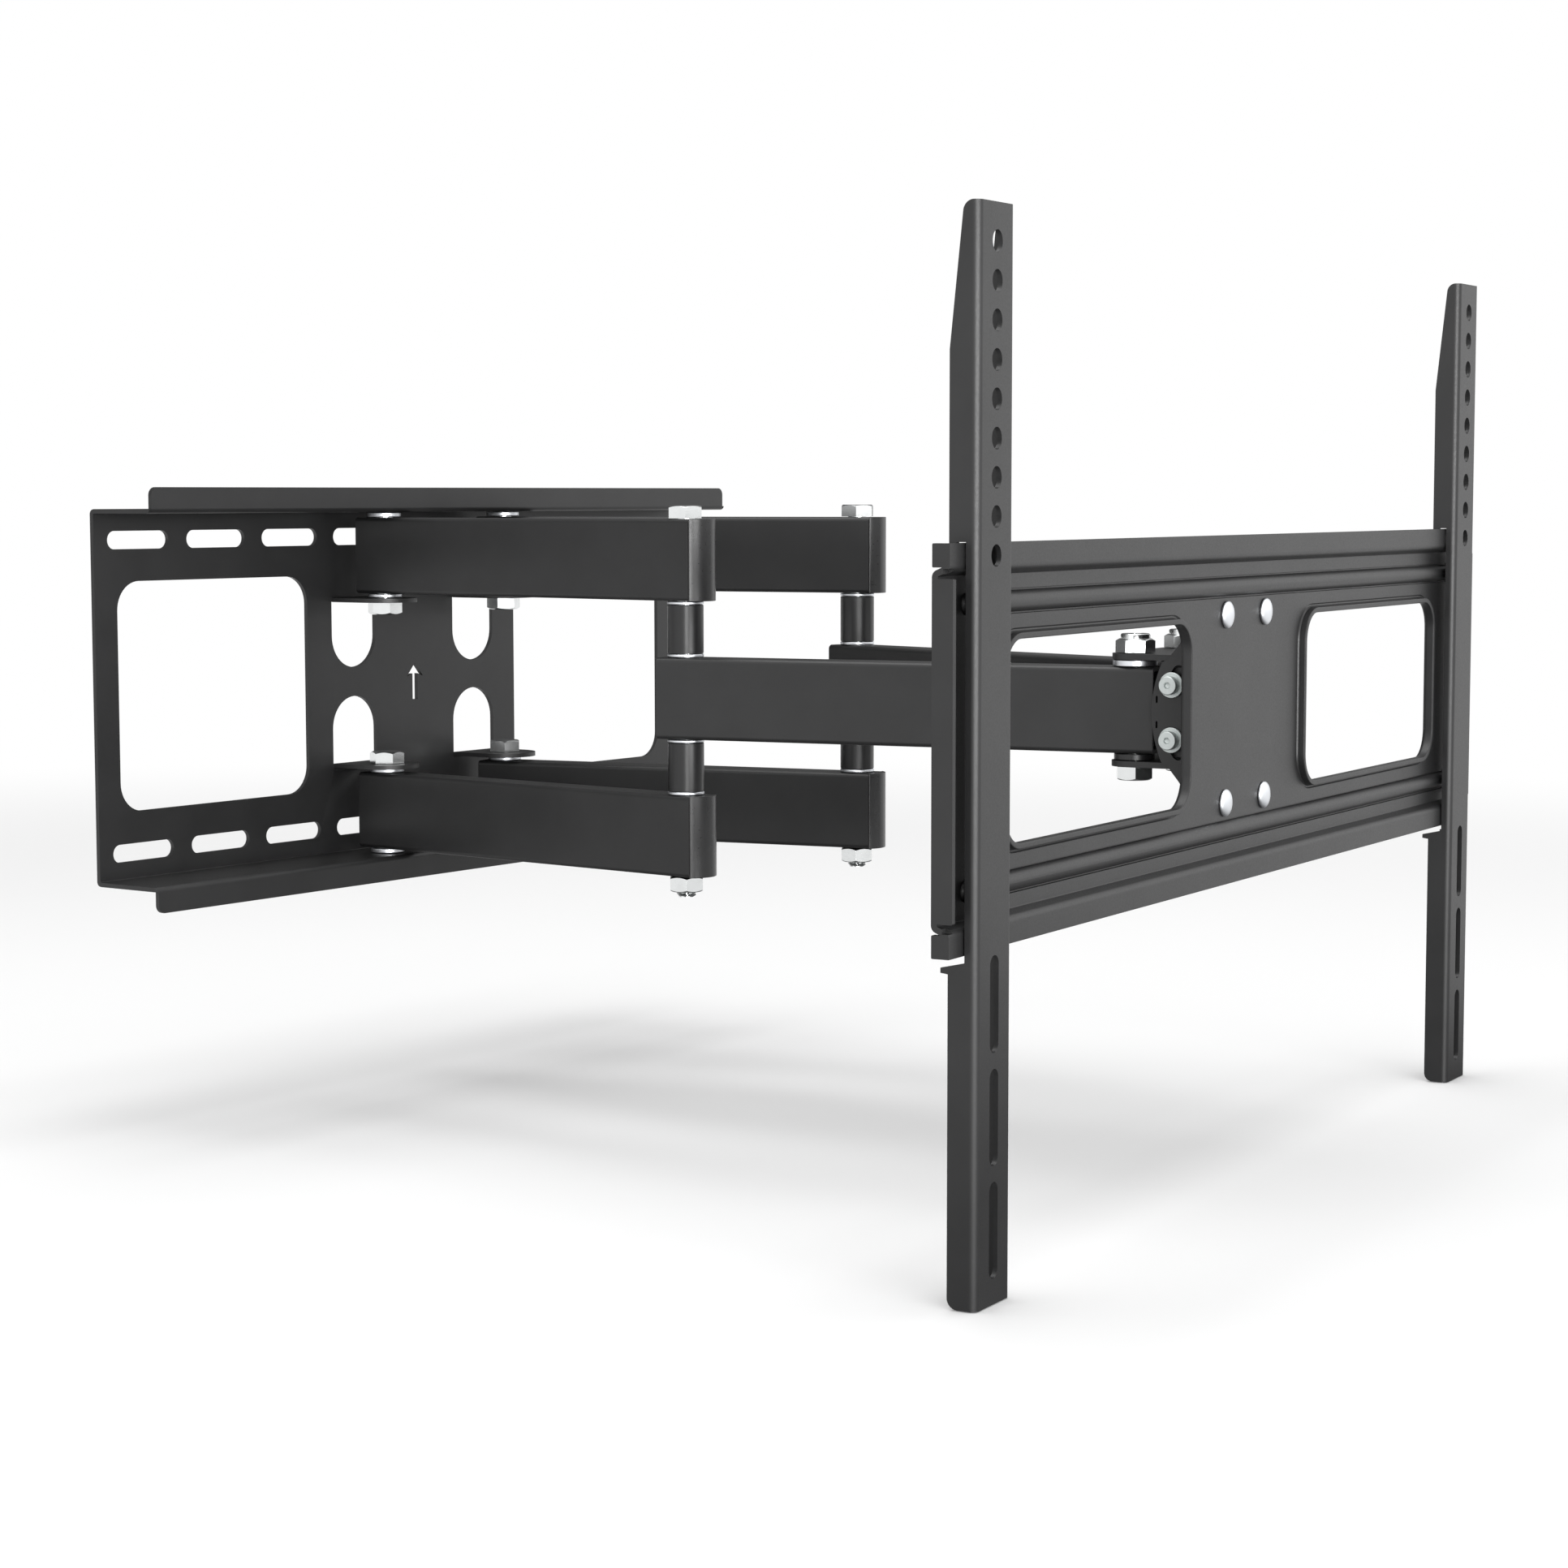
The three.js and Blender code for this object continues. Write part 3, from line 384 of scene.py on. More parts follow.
def plating(name, color, roughness, spread):
    """Bright zinc or nickel plating with faint drawn streaks and cloudy patches."""
    material, tree, shader = new_material(name, color, 1.0, roughness)
    cloud = noise(tree, 140, 2)
    dark = tuple(c * 0.93 for c in color)
    tree.links.new(tinted(tree, cloud, dark, color), shader.inputs["Base Color"])
    streak = noise(tree, 420, 2, (1, 1, 5))
    tree.links.new(ranged(tree, streak, roughness - spread, roughness + spread),
                   shader.inputs["Roughness"])
    bumped(tree, cloud, 0.02, 0.0002, shader)
    return material


def plastic(name, color, roughness):
    """Moulded plastic with a faint grain."""
    material, tree, shader = new_material(name, color, 0.0, roughness)
    grain = noise(tree, 500, 2)
    tree.links.new(ranged(tree, grain, roughness - 0.03, roughness + 0.03),
                   shader.inputs["Roughness"])
    tree.links.new(tinted(tree, noise(tree, 120, 2), tuple(c * 0.9 for c in color), color),
                   shader.inputs["Base Color"])
    bumped(tree, grain, 0.01, 0.00005, shader)
    return material


LOOKS = {
    "black_coat": powder_coat(),
    "zinc": plating("zinc", (0.8, 0.815, 0.815), 0.17, 0.02),
    "bright_plate": plating("bright_plate", (0.82, 0.84, 0.87), 0.36, 0.03),
    "dull_zinc": plating("dull_zinc", (0.66, 0.7, 0.69), 0.55, 0.04),
    "black_plastic": plastic("black_plastic", (0.012, 0.012, 0.0125), 0.32),
    "end_caps": plastic("end_caps", (0.02, 0.02, 0.0205), 0.3),
}


# ------------------------------------------------------------------ finished pieces
def finish(name, shape, place, body, look, nodes, edge=0.35):
    """Names, bevels, paints and places a shape, and lets it ride with its body."""
    shape.name = name
    shape.data.name = name
    mesh = shape.data
    clean = bmesh.new()
    clean.from_mesh(mesh)
    bmesh.ops.remove_doubles(clean, verts=clean.verts, dist=0.002)
    bmesh.ops.dissolve_limit(clean, angle_limit=math.radians(0.4), verts=clean.verts,
                             edges=clean.edges)
    clean.to_mesh(mesh)
    clean.free()
    mesh.transform(place @ Matrix.Scale(1, 4))
    mesh.transform(Matrix.Scale(MM, 4))
    mesh.materials.clear()
    mesh.materials.append(LOOKS[look])
    mesh.shade_smooth()
    if edge:
        bevel = shape.modifiers.new("edges", "BEVEL")
        bevel.width = edge * MM
        bevel.segments = 2
        bevel.limit_method = "ANGLE"
        bevel.angle_limit = math.radians(32)
        bevel.miter_outer = "MITER_ARC"
        shape.modifiers.new("flats", "WEIGHTED_NORMAL").keep_sharp = True
    else:
        mesh.set_sharp_from_angle(angle=math.radians(32))
    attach(shape, body)
    if nodes:
        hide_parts(*nodes)
    return shape


# ------------------------------------------------------------------ wall plate
def wall_plate():
    middle = FLANGE - WALL_SHEET / 2
    front = -FLANGE_DEPTH + WALL_SHEET / 2
    back = -WALL_SHEET / 2
    lip = FLANGE + LIP_HEIGHT
    section = bent([(front, lip), (front, middle), (back, middle), (back, -middle),
                    (front, -middle), (front, -lip)], WALL_SHEET, 0.4)
    plate = prism(section, "x", -WALL_HALF, 2 * WALL_HALF)
    plate = trim(plate, prism(wall_outline(), "y", -FLANGE_DEPTH - 1, FLANGE_DEPTH + 2))

    openings = [arrow()]
    for side in SIDES.values():
        near, far = sorted((side * WALL_WINDOW["inner"], side * WALL_WINDOW["outer"]))
        half = WALL_WINDOW["half"]
        openings.append(rounded(near, far, -half, half, WALL_WINDOW["radius"], 12))
        for up in LEVELS.values():
            for i in range(4):
                x = side * (SLOT_FIRST - i * SLOT_PITCH)
                openings.append(slot(x, up * SLOT_LEVEL, SLOT_LONG, SLOT_WIDE))
            openings.append(ear_hole(side * WALL_PIVOT_X, up))
    plate = cut(plate, *(prism(hole, "y", -WALL_SHEET - 1, WALL_SHEET + 2)
                         for hole in openings))
    for side in SIDES.values():
        for up in LEVELS.values():
            plate = add(plate, wall_ear(side * WALL_PIVOT_X, up))
            bore = prism(circle(side * WALL_PIVOT_X, -PIVOT_DEPTH, BORE, 32), "z",
                         FLANGE - 6, 12)
            plate = cut(plate, bore if up > 0 else mirrored(bore, "z"))
    finish("wall_plate_pressing", plate, WALL, "wall", "black_coat", ["wall_plate"], 0.3)


def wall_outline():
    """Front view of the plate: its lips are a little shorter and have round corners."""
    half, lip = WALL_HALF - LIP_INSET, FLANGE + LIP_HEIGHT
    corner = ([(WALL_HALF, FLANGE - 0.4), (WALL_HALF - 0.4, FLANGE), (half, FLANGE)]
              + arc(half - 4, lip - 4, 4, 0, 90, 8))
    left = [(-x, z) for x, z in reversed(corner)]
    return corner + left + flipped(corner + left)


def arrow():
    return [(0, 8), (6.6, 0.6), (2, 2.2), (2, -12), (-2, -12), (-2, 2.2), (-6.6, 0.6)][::-1]


def ear_hole(x, up):
    """The opening that an ear leaves: square at its fold, round at its far end."""
    fold = EAR_TOP + 2.4
    end = EAR_HOLE_TIP + EAR_HALF
    outline = ([(x - EAR_HALF, fold), (x - EAR_HALF, end)]
               + arc(x, end, EAR_HALF, 180, 360, 24)[1:] + [(x + EAR_HALF, fold)])
    return outline if up > 0 else flipped(outline)


def wall_ear(x, up):
    """The tongue folded out of the plate, bored for the pivot bolt."""
    back = -WALL_SHEET / 2
    level = EAR_TOP - WALL_SHEET / 2
    section = bent([(back, EAR_TOP + 2.6), (back, level), (-PIVOT_DEPTH - EAR_HALF, level)],
                   WALL_SHEET, 1.0)
    ear = prism(section, "x", x - EAR_HALF, 2 * EAR_HALF)
    outline = ([(x + EAR_HALF + 1, 1), (x - EAR_HALF - 1, 1), (x - EAR_HALF - 1, -3),
                (x - EAR_HALF, -3)]
               + arc(x, -PIVOT_DEPTH, EAR_HALF, 180, 360, 32) + [(x + EAR_HALF, -3),
                                                                (x + EAR_HALF + 1, -3)])
    ear = trim(ear, prism(outline, "z", 0, FLANGE))
    ear = cut(ear, prism(circle(x, -PIVOT_DEPTH, BORE, 32), "z", EAR_TOP - 6, 8))
    return ear if up > 0 else mirrored(ear, "z")


# ------------------------------------------------------------------ fasteners
def hexagon(z0, z1, low=True, high=True):
    """Hexagonal prism whose corners are turned off to a cone at either end."""
    corner = HEX_FLATS / 2 / math.cos(math.radians(30))
    block = prism(circle(0, 0, corner, 6), "z", z0, z1 - z0)
    flat = HEX_FLATS / 2 - 0.5
    drop = 1.15
    reach = corner + 0.2
    cone = [(0, z0), (flat if low else reach, z0)]
    if low:
        cone.append((reach, z0 + drop))
    if high:
        cone.append((reach, z1 - drop))
    cone += [(flat if high else reach, z1), (0, z1)]
    return trim(block, turned(cone, 72))


def threaded(z0, z1, radius=THREAD, pitch=1.5, depth=0.75, steps=32):
    """Threaded rod with a chamfered tip at z1."""
    rise = 1 if z1 > z0 else -1
    rows = int(abs(z1 - z0) / pitch * 6)
    loops = []
    for row in range(rows + 1):
        along = abs(z1 - z0) * row / rows
        taper = min(1.0, (abs(z1 - z0) - along + 0.35) / 1.2)
        loop = []
        for k in range(steps):
            phase = (along / pitch - rise * k / steps) % 1
            groove = depth * (1 - abs(2 * phase - 1))
            r = radius - groove * min(1, along / pitch) - (1 - taper) * 1.1
            a = 2 * math.pi * k / steps
            loop.append((r * math.cos(a), r * math.sin(a), z0 + rise * along))
        loops.append(loop)
    return loft(loops)


def washer(radius, bore, z0, z1, steps=56):
    e = min(0.3, (z1 - z0) * 0.3)
    return turned([(bore + e, z0), (radius - e, z0), (radius, z0 + e), (radius, z1 - e),
                   (radius - e, z1), (bore + e, z1), (bore, z1 - e), (bore, z0 + e)], steps)


def pillar(radius, z0, z1, steps=32):
    return prism(circle(0, 0, radius, steps), "z", z0, z1 - z0)


def bolt(z_head, z_end, plain_to):
    """Hex head below z_head, plain shank to plain_to, thread to z_end."""
    head = hexagon(z_head - HEAD_HEIGHT, z_head, True, False)
    head = add(head, pillar(THREAD, z_head - 1, plain_to))
    return add(head, threaded(plain_to - 0.3, z_end))


def nut(z0, height, collar=0):
    """Hex nut; a collar above it holds the locking ring of a lock nut."""
    body = hexagon(z0, z0 + height - collar, False if collar else True, True)
    if collar:
        top = z0 + height
        low = top - collar
        body = add(body, turned([(0, low - 0.6), (6.9, low - 0.6), (6.9, top - 0.8),
                                 (6.6, top - 0.25), (6.1, top), (0, top)], 48))
    bore = turned([(0, z0 - 1), (THREAD + 0.25, z0 - 1), (THREAD + 0.25, z0 + height + 1),
                   (0, z0 + height + 1)], 32)
    return cut(body, bore)


def spin(place, degrees):
    return place @ Matrix.Rotation(math.radians(degrees), 4, "Z")


def wall_pivot(side_name, level_name):
    side, up = SIDES[side_name], LEVELS[level_name]
    tag = f"{side_name}_{level_name}"
    place = Matrix.Translation((side * WALL_PIVOT_X, -PIVOT_DEPTH, 0))
    if up < 0:
        place = place @ Matrix.Rotation(math.pi, 4, "X")
    under_ear = EAR_TOP - WALL_SHEET - GAP
    top = UPPER_LEVEL + TUBE_HEIGHT / 2
    under = UPPER_LEVEL - TUBE_HEIGHT / 2
    shapes = {
        "wall_bolt": (bolt(under_ear, FLANGE + NUT_HEIGHT + 2.2, FLANGE - 4), "zinc",
                      -1.7 if side < 0 else 20),
        "wall_nut": (nut(FLANGE + GAP, NUT_HEIGHT), "zinc", 0),
        "wall_washer": (washer(WASHER, BORE, top + GAP, FLANGE - WALL_SHEET - GAP),
                        "bright_plate", 0),
        "wall_ear_washer": (washer(WASHER, BORE, EAR_TOP + GAP, under - GAP),
                            "bright_plate", 0),
    }
    for kind, (shape, look, turn) in shapes.items():
        nodes = [] if kind == "wall_ear_washer" else [f"{kind}_{tag}"]
        finish(f"{kind}_piece_{tag}", shape, spin(place, turn), "wall", look, nodes,
               0.12 if kind != "wall_bolt" else 0)


# ------------------------------------------------------------------ arms
def tube(end, level, bores):
    """Rectangular tube with round corners, drilled for its bolts."""
    h, w, t = TUBE_HEIGHT / 2, TUBE_WIDTH / 2, TUBE_WALL
    shell = prism(rounded(-w, w, level - h, level + h, 2.2), "y", end, TUBE_END - end)
    shell = cut(shell, prism(rounded(-w + t, w - t, level - h + t, level + h - t, 1), "y",
                             end - 1, TUBE_END - end + 2))
    for y in bores:
        bore = prism(circle(0, y, BORE, 32), "z", level - h - 1, 2 * h + 2)
        shell = cut(shell, bore)
    return shell


def end_cap(level):
    """Cap with a bowed face that plugs into the end of the tube."""
    w, h = TUBE_WIDTH / 2, TUBE_HEIGHT / 2
    rim = -INNER_LENGTH - CAP["start"] - 0.12
    bulge = CAP["bulge"]
    radius = (w ** 2 + bulge ** 2) / (2 * bulge)
    spread = math.degrees(math.asin(w / radius))
    middle = rim - CAP["flank"] - bulge + radius
    face = [(-w, rim)] + arc(0, middle, radius, 270 - spread, 270 + spread, 24) + [(w, rim)]
    cap = prism(face, "z", level - h, TUBE_HEIGHT)
    plug = rounded(-w + 2.4, w - 2.4, level - h + 2.4, level + h - 2.4, 0.8)
    return add(cap, prism(plug, "y", rim - 1, 2.8))


def inner_arm(name):
    body = f"{name}_inner_arm"
    place = PLACES[body]
    end = -INNER_LENGTH - CAP["start"]
    for level_name, up in LEVELS.items():
        level = up * UPPER_LEVEL
        tag = f"{name}_{level_name}"
        finish(f"inner_tube_piece_{tag}", tube(end, level, [0, -INNER_LENGTH]),
               place, body, "black_coat", [f"inner_tube_{tag}"], 0.2)
        finish(f"end_cap_piece_{tag}", end_cap(level), place, body, "end_caps",
               [f"end_cap_{tag}"], 0.25)
    elbow(name, body, place @ Matrix.Translation((0, -INNER_LENGTH, 0)))


def elbow(name, body, place):
    top = UPPER_LEVEL + TUBE_HEIGHT / 2
    under = UPPER_LEVEL - TUBE_HEIGHT / 2
    middle = TUBE_HEIGHT / 2
    turn = {"left": 40.8, "right": 17.1}[name]
    long_bolt = mirrored(bolt(-top - GAP, top + NUT_HEIGHT + 3, top - 3), "z")
    finish(f"elbow_bolt_piece_{name}", long_bolt, spin(place, turn), body, "zinc",
           [f"elbow_bolt_{name}"], 0)
    low_nut = mirrored(nut(top + GAP, NUT_HEIGHT), "z")
    finish(f"elbow_nut_piece_{name}", low_nut, spin(place, turn), body, "zinc",
           [f"elbow_nut_{name}"], 0.12)
    thick = ELBOW_WASHER_THICK
    stack = {
        "outer_washer": (WASHER, under - GAP - thick, under - GAP, "bright_plate"),
        "spacer": (SPACER, middle + thick + 2 * GAP, under - thick - 2 * GAP, "black_plastic"),
        "inner_washer": (WASHER, middle + GAP, middle + GAP + thick, "bright_plate"),
    }
    for kind, (radius, z0, z1, look) in stack.items():
        for level_name, up in LEVELS.items():
            ring = washer(radius, BORE, z0, z1)
            ring = ring if up > 0 else mirrored(ring, "z")
            finish(f"elbow_{kind}_piece_{name}_{level_name}", ring, place, body, look,
                   [f"elbow_{kind}_{name}_{level_name}"], 0)


def outer_arm(name):
    body = f"{name}_outer_arm"
    finish(f"outer_tube_piece_{name}", tube(-OUTER_LENGTH - TUBE_END, 0, [0, -OUTER_LENGTH]),
           PLACES[body], body, "black_coat", [f"outer_tube_{name}"])


# ------------------------------------------------------------------ head
def head_bracket():
    half = CHEEK_X - GAP
    front = HEAD_WEB_BACK - HEAD_SHEET
    web = front + HEAD_SHEET / 2
    level = EAR_LEVEL + HEAD_SHEET / 2
    section = bent([(70, level), (web, level), (web, -level), (70, -level)], HEAD_SHEET, 1.2)
    body = prism(section, "x", -half, 2 * half)
    plan = ([(-half, front - 1), (half, front - 1), (half, front + 6)]
            + arc(HEAD_PIVOT_X, HEAD_PIVOT_Y, HEAD_EAR_RADIUS, 0, 90, 16)
            + arc(-HEAD_PIVOT_X, HEAD_PIVOT_Y, HEAD_EAR_RADIUS, 90, 180, 16)
            + [(-half, front + 6)])
    body = trim(body, prism(plan, "z", -40, 80))
    high, reach = HEAD_FLANGE["half"], HEAD_FLANGE["reach"]
    for side in SIDES.values():
        x = side * (half - HEAD_SHEET / 2)
        fold = bent([(side * HEAD_FLANGE["start"], web), (x, web), (x, reach)], HEAD_SHEET, 1.2)
        flange = prism(fold, "z", -high, 2 * high)
        shape = prism(rounded(front - 5, reach, -high, high, 4), "x", -half - 1, 2 * half + 2)
        flange = trim(flange, shape)
        body = add(body, flange)
        body = cut(body, prism(circle(side * HEAD_PIVOT_X, HEAD_PIVOT_Y, BORE, 32), "z", -40, 80))
        for up in LEVELS.values():
            hole = circle(TILT_SCREW.x, up * TILT_SCREW.y, TILT_SCREW_BORE, 24)
            body = cut(body, prism(hole, "x", min(x, x - 3), 6))
    finish("head_bracket_pressing", body, HEAD, "head", "black_coat", ["head_bracket"], 0.4)


def head_pivot(name):
    side = SIDES[name]
    place = HEAD @ Matrix.Translation((side * HEAD_PIVOT_X, HEAD_PIVOT_Y, 0))
    ear = EAR_LEVEL + HEAD_SHEET
    tall, collar = LOCK_NUT["height"], LOCK_NUT["collar"]
    bolt_turn, nut_turn = 26.8, 53.6
    head_low = hexagon(-ear - GAP - HEAD_HEIGHT, -ear - GAP, True, False)
    if side < 0:
        shank = add(head_low, pillar(THREAD, -ear - 1, ear - 1))
        shank = add(shank, threaded(ear - 1.3, ear + tall - 1.5))
        finish("head_bolt_piece_left", shank, spin(place, bolt_turn), "head", "zinc",
               ["head_bolt_left"], 0)
        finish("head_nut_piece_left", nut(ear + GAP, tall, collar), spin(place, nut_turn),
               "head", "zinc", ["head_nut_left"], 0.12)
    else:
        stub = add(head_low, pillar(THREAD, -ear - 1, -TUBE_HEIGHT / 2 - GAP))
        finish("head_bolt_piece_right_lower", stub, spin(place, bolt_turn), "head", "zinc",
               ["head_bolt_right_lower"], 0)
        top = add(nut(ear + GAP, tall, collar),
                  pillar(THREAD + 0.2, TUBE_HEIGHT / 2 + GAP, ear + 7))
        finish("head_bolt_piece_right_upper", top, spin(place, nut_turn), "head", "zinc",
               ["head_bolt_right_upper"], 0.1)
    finish(f"lock_ring_{name}", washer(THREAD + 1.3, THREAD + 0.15, ear + tall - 0.9, ear + tall),
           place, "head", "black_plastic", [], 0)
    disc = washer(HEAD_WASHER, BORE, TUBE_HEIGHT / 2 + GAP, EAR_LEVEL - GAP)
    finish(f"head_washer_piece_{name}", disc, place, "head", "bright_plate",
           [f"head_washer_{name}"], 0)
    bush = mirrored(washer(HEAD_BUSH, BORE, TUBE_HEIGHT / 2 + GAP, EAR_LEVEL - GAP), "z")
    finish(f"head_bush_piece_{name}", bush, place, "head", "black_plastic",
           [f"head_bush_{name}"], 0)


def tilt_screw(name, level_name):
    """Socket screw on its washer, lying along X and clamping the cheek to the head."""
    out = CHEEK_X + SHEET + GAP
    low = CHEEK_X - GAP - HEAD_SHEET - 2
    screw = turned([(0, low), (2.9, low), (2.9, out), (5.7, out), (5.9, out + 0.2),
                    (5.9, out + 1), (5.7, out + 1.2), (4.25, out + 1.2), (4.3, out + 1.5),
                    (4.3, out + 5.3), (4.15, out + 5.65), (3.8, out + 5.8), (0, out + 5.8)], 48)
    socket = turned([(0, out + 4.4), (1.3, out + 4.8), (1.9, out + 6.5), (0, out + 6.5)], 6)
    screw = cut(screw, socket)
    side, up = SIDES[name], LEVELS[level_name]
    lay = Matrix.Rotation(math.radians(90 * side), 4, "Y")
    place = HEAD @ Matrix.Translation((0, TILT_SCREW.x, up * TILT_SCREW.y)) @ lay
    finish(f"tilt_screw_piece_{name}_{level_name}", screw, spin(place, 40), "head", "dull_zinc",
           [f"tilt_screw_{name}_{level_name}"], 0.1)


# ------------------------------------------------------------------ tilt frame
def tilt_slot(up):
    """Arc slot about the tilt axis, reaching past the screw towards the screen."""
    radius = TILT_SCREW.length
    at = math.degrees(math.atan2(TILT_SCREW.y, TILT_SCREW.x))
    low, high = at - TILT_RANGE - 0.2, at + TILT_RANGE + 7
    half = 3.25
    ends = [Vector((radius, 0)) @ Matrix.Rotation(math.radians(-a), 2) for a in (low, high)]
    outline = (arc(0, 0, radius + half, low, high, 16)
               + arc(*ends[1], half, high, high + 180, 12)[1:]
               + arc(0, 0, radius - half, high, low, 16)[1:]
               + arc(*ends[0], half, low + 180, low + 360, 12)[1:-1])
    return outline if up > 0 else flipped(outline)


def tilt_frame():
    front = WEB_FACE + SHEET + GAP
    middle = front + SHEET / 2
    x = CHEEK_X + SHEET / 2
    section = bent([(-x, 50), (-x, middle), (x, middle), (x, 50)], SHEET, 1.2)
    body = prism(section, "z", -49, 98)
    curve = [(35 + 5.0 * (1 - (z / 23) ** 2), z) for z in range(23, -24, -2)]
    side_view = ([(front - 1, 49), (front + SHEET, 49), (front + SHEET, 46), (26.4, 31.5),
                  (32.6, 24)] + curve + [(32.6, -24), (26.4, -31.5), (front + SHEET, -46),
                                         (front + SHEET, -49), (front - 1, -49)])
    body = trim(body, prism(side_view[::-1], "x", -60, 120))
    for side in SIDES.values():
        for up in LEVELS.values():
            holes = [tilt_slot(up), rounded(37, 38, up * 5.8 - 1.7, up * 5.8 + 1.7, 0.45, 4)]
            start = CHEEK_X - 1 if side > 0 else -CHEEK_X - SHEET - 1
            body = cut(body, *(prism(hole, "x", start, SHEET + 2) for hole in holes))
            rivet_hole = circle(side * RIVET["x"], PLATE_LEVEL + up * RIVET["z"], RIVET["bore"], 24)
            body = cut(body, prism(rivet_hole, "y", front - 1, SHEET + 2))
    finish("tilt_frame_pressing", body, HEAD, "tv_plate", "black_coat", ["tilt_frame"], 0.35)


# ------------------------------------------------------------------ TV plate
def grown(x0, x1, z0, z1, radius, by, steps=12):
    return rounded(x0 - by, x1 + by, z0 - by, z1 + by, max(radius + by, 0.2), steps)


def bar(up, profile, shift=0):
    """Long round-ended solid along a bead, from (growth, depth) pairs."""
    z = up * BEAD_LEVEL
    loops = []
    for by, depth in profile:
        loop = grown(-BEAD_HALF, BEAD_HALF, z - BEAD_ROUND, z + BEAD_ROUND,
                     BEAD_ROUND - 0.02, by)
        loops.append([(a, WEB_FACE + depth + shift, b) for a, b in loop])
    return loft(loops)


def bead_groove(up):
    return bar(up, [(1.7, -1), (1.7, 0.5), (1.5, 0.9)])


def pressed_bead(up, shift=0):
    """Rib pressed forward along the plate."""
    return bar(up, [(0.9, 1.3), (0.9, 0.4), (0.6, -0.5), (0.1, -1.3), (-0.6, -2.1),
                    (-1.6, -2.7), (-3.0, -3.0)], shift)


def window_rim(x0, x1, half, radius):
    """Wall turned forward round a window, with a round nose and a filleted foot."""
    nose = WEB_FACE - RIM_HEIGHT
    back = WEB_FACE + SHEET
    t = RIM_THICK
    profile = [(2.2, back), (0.9, back - 0.5), (0.2, back - 1.4), (0.0, back - 2.4),
               (0.0, nose + 0.6), (0.2, nose + 0.2), (0.6, nose), (t - 0.6, nose),
               (t - 0.2, nose + 0.2), (t, nose + 0.6), (t, WEB_FACE - 0.2),
               (t + 0.5, WEB_FACE + 0.5), (t + 1.1, WEB_FACE + 0.6), (t + 1.9, WEB_FACE + 0.02),
               (t + 1.9, back)]
    loops = [[(a, y, b) for a, b in grown(x0, x1, -half, half, radius, by)]
             for by, y in profile]
    return loft(loops, ring=True)


def tv_plate():
    lip = LIP_FACE + SHEET / 2
    web = WEB_FACE + SHEET / 2
    step = 1.1
    section = bent([(lip, PLATE_TOP), (lip, WEB_EDGE + step), (web, WEB_EDGE - step),
                    (web, -WEB_EDGE + step), (lip, -WEB_EDGE - step), (lip, -PLATE_TOP)],
                   SHEET, 0.5, 6)
    plate = prism(section, "x", -PLATE_HALF, 2 * PLATE_HALF)
    half, radius = PLATE_WINDOW["half"], PLATE_WINDOW["radius"]
    for side in SIDES.values():
        x0, x1 = sorted((side * PLATE_WINDOW["inner"], side * PLATE_WINDOW["outer"]))
        hole = grown(x0, x1, -half, half, radius, 4.3)
        plate = cut(plate, prism(hole, "y", 0, 20))
        plate = add(plate, window_rim(x0, x1, half, radius))
        for up in LEVELS.values():
            rivet_hole = circle(side * RIVET["x"], up * RIVET["z"], RIVET["bore"], 24)
            plate = cut(plate, prism(rivet_hole, "y", 0, 20))
    for up in LEVELS.values():
        plate = cut(plate, bead_groove(up))
        plate = add(plate, pressed_bead(up))
        plate = cut(plate, pressed_bead(up, SHEET + 0.15))
    for side in SIDES.values():
        plate = plate_end(plate, side)
    plate = moved(plate, 0, 0, PLATE_LEVEL)
    finish("tv_plate_pressing", plate, HEAD, "tv_plate", "black_coat", ["tv_plate"], 0.3)


def plate_end(plate, side):
    """Tabs bent back from the lips and a stop bent forward from the web, with reliefs."""
    end = side * PLATE_HALF
    start = min(end, end - side * SHEET)
    for up in LEVELS.values():
        near, far = sorted((end + side, end - side * 4))
        relief = rounded(near, far, up * WEB_EDGE - 1, up * WEB_EDGE + 1, 0.4, 4)
        plate = cut(plate, prism(relief, "y", 0, LIP_FACE + SHEET + 0.6))
        z0, z1 = sorted((up * TAB_START, up * PLATE_TOP))
        tab = rounded(LIP_FACE + 0.02, 13.6, z0, z1, 0.5, 4)
        plate = add(plate, prism(tab, "x", start, SHEET))
    stop = rounded(4.6, WEB_FACE + SHEET - 0.02, -STOP_HALF, STOP_HALF, 0.5, 4)
    return add(plate, prism(stop, "x", start, SHEET))


def rivet(name, level_name):
    radius, height = RIVET["radius"], RIVET["height"]
    foot = -(WEB_FACE - GAP)
    dome = [(radius * math.cos(a), foot + 0.35 + (height - 0.35) * math.sin(a))
            for a in (math.radians(k * 9) for k in range(11))]
    dome[-1] = (0, foot + height)
    tail = -(WEB_FACE + 2 * SHEET + GAP + 0.5)
    shank = RIVET["shank"]
    profile = [(0, tail), (shank, tail), (shank, foot), (radius - 0.1, foot)] + dome
    shape = turned(profile, 56)
    shape.data.transform(Matrix.Rotation(math.radians(90), 4, "X"))
    side, up = SIDES[name], LEVELS[level_name]
    place = HEAD @ Matrix.Translation((side * RIVET["x"], 0, PLATE_LEVEL + up * RIVET["z"]))
    finish(f"rivet_piece_{name}_{level_name}", shape, place, "tv_plate", "bright_plate",
           [f"rivet_{name}_{level_name}"], 0)


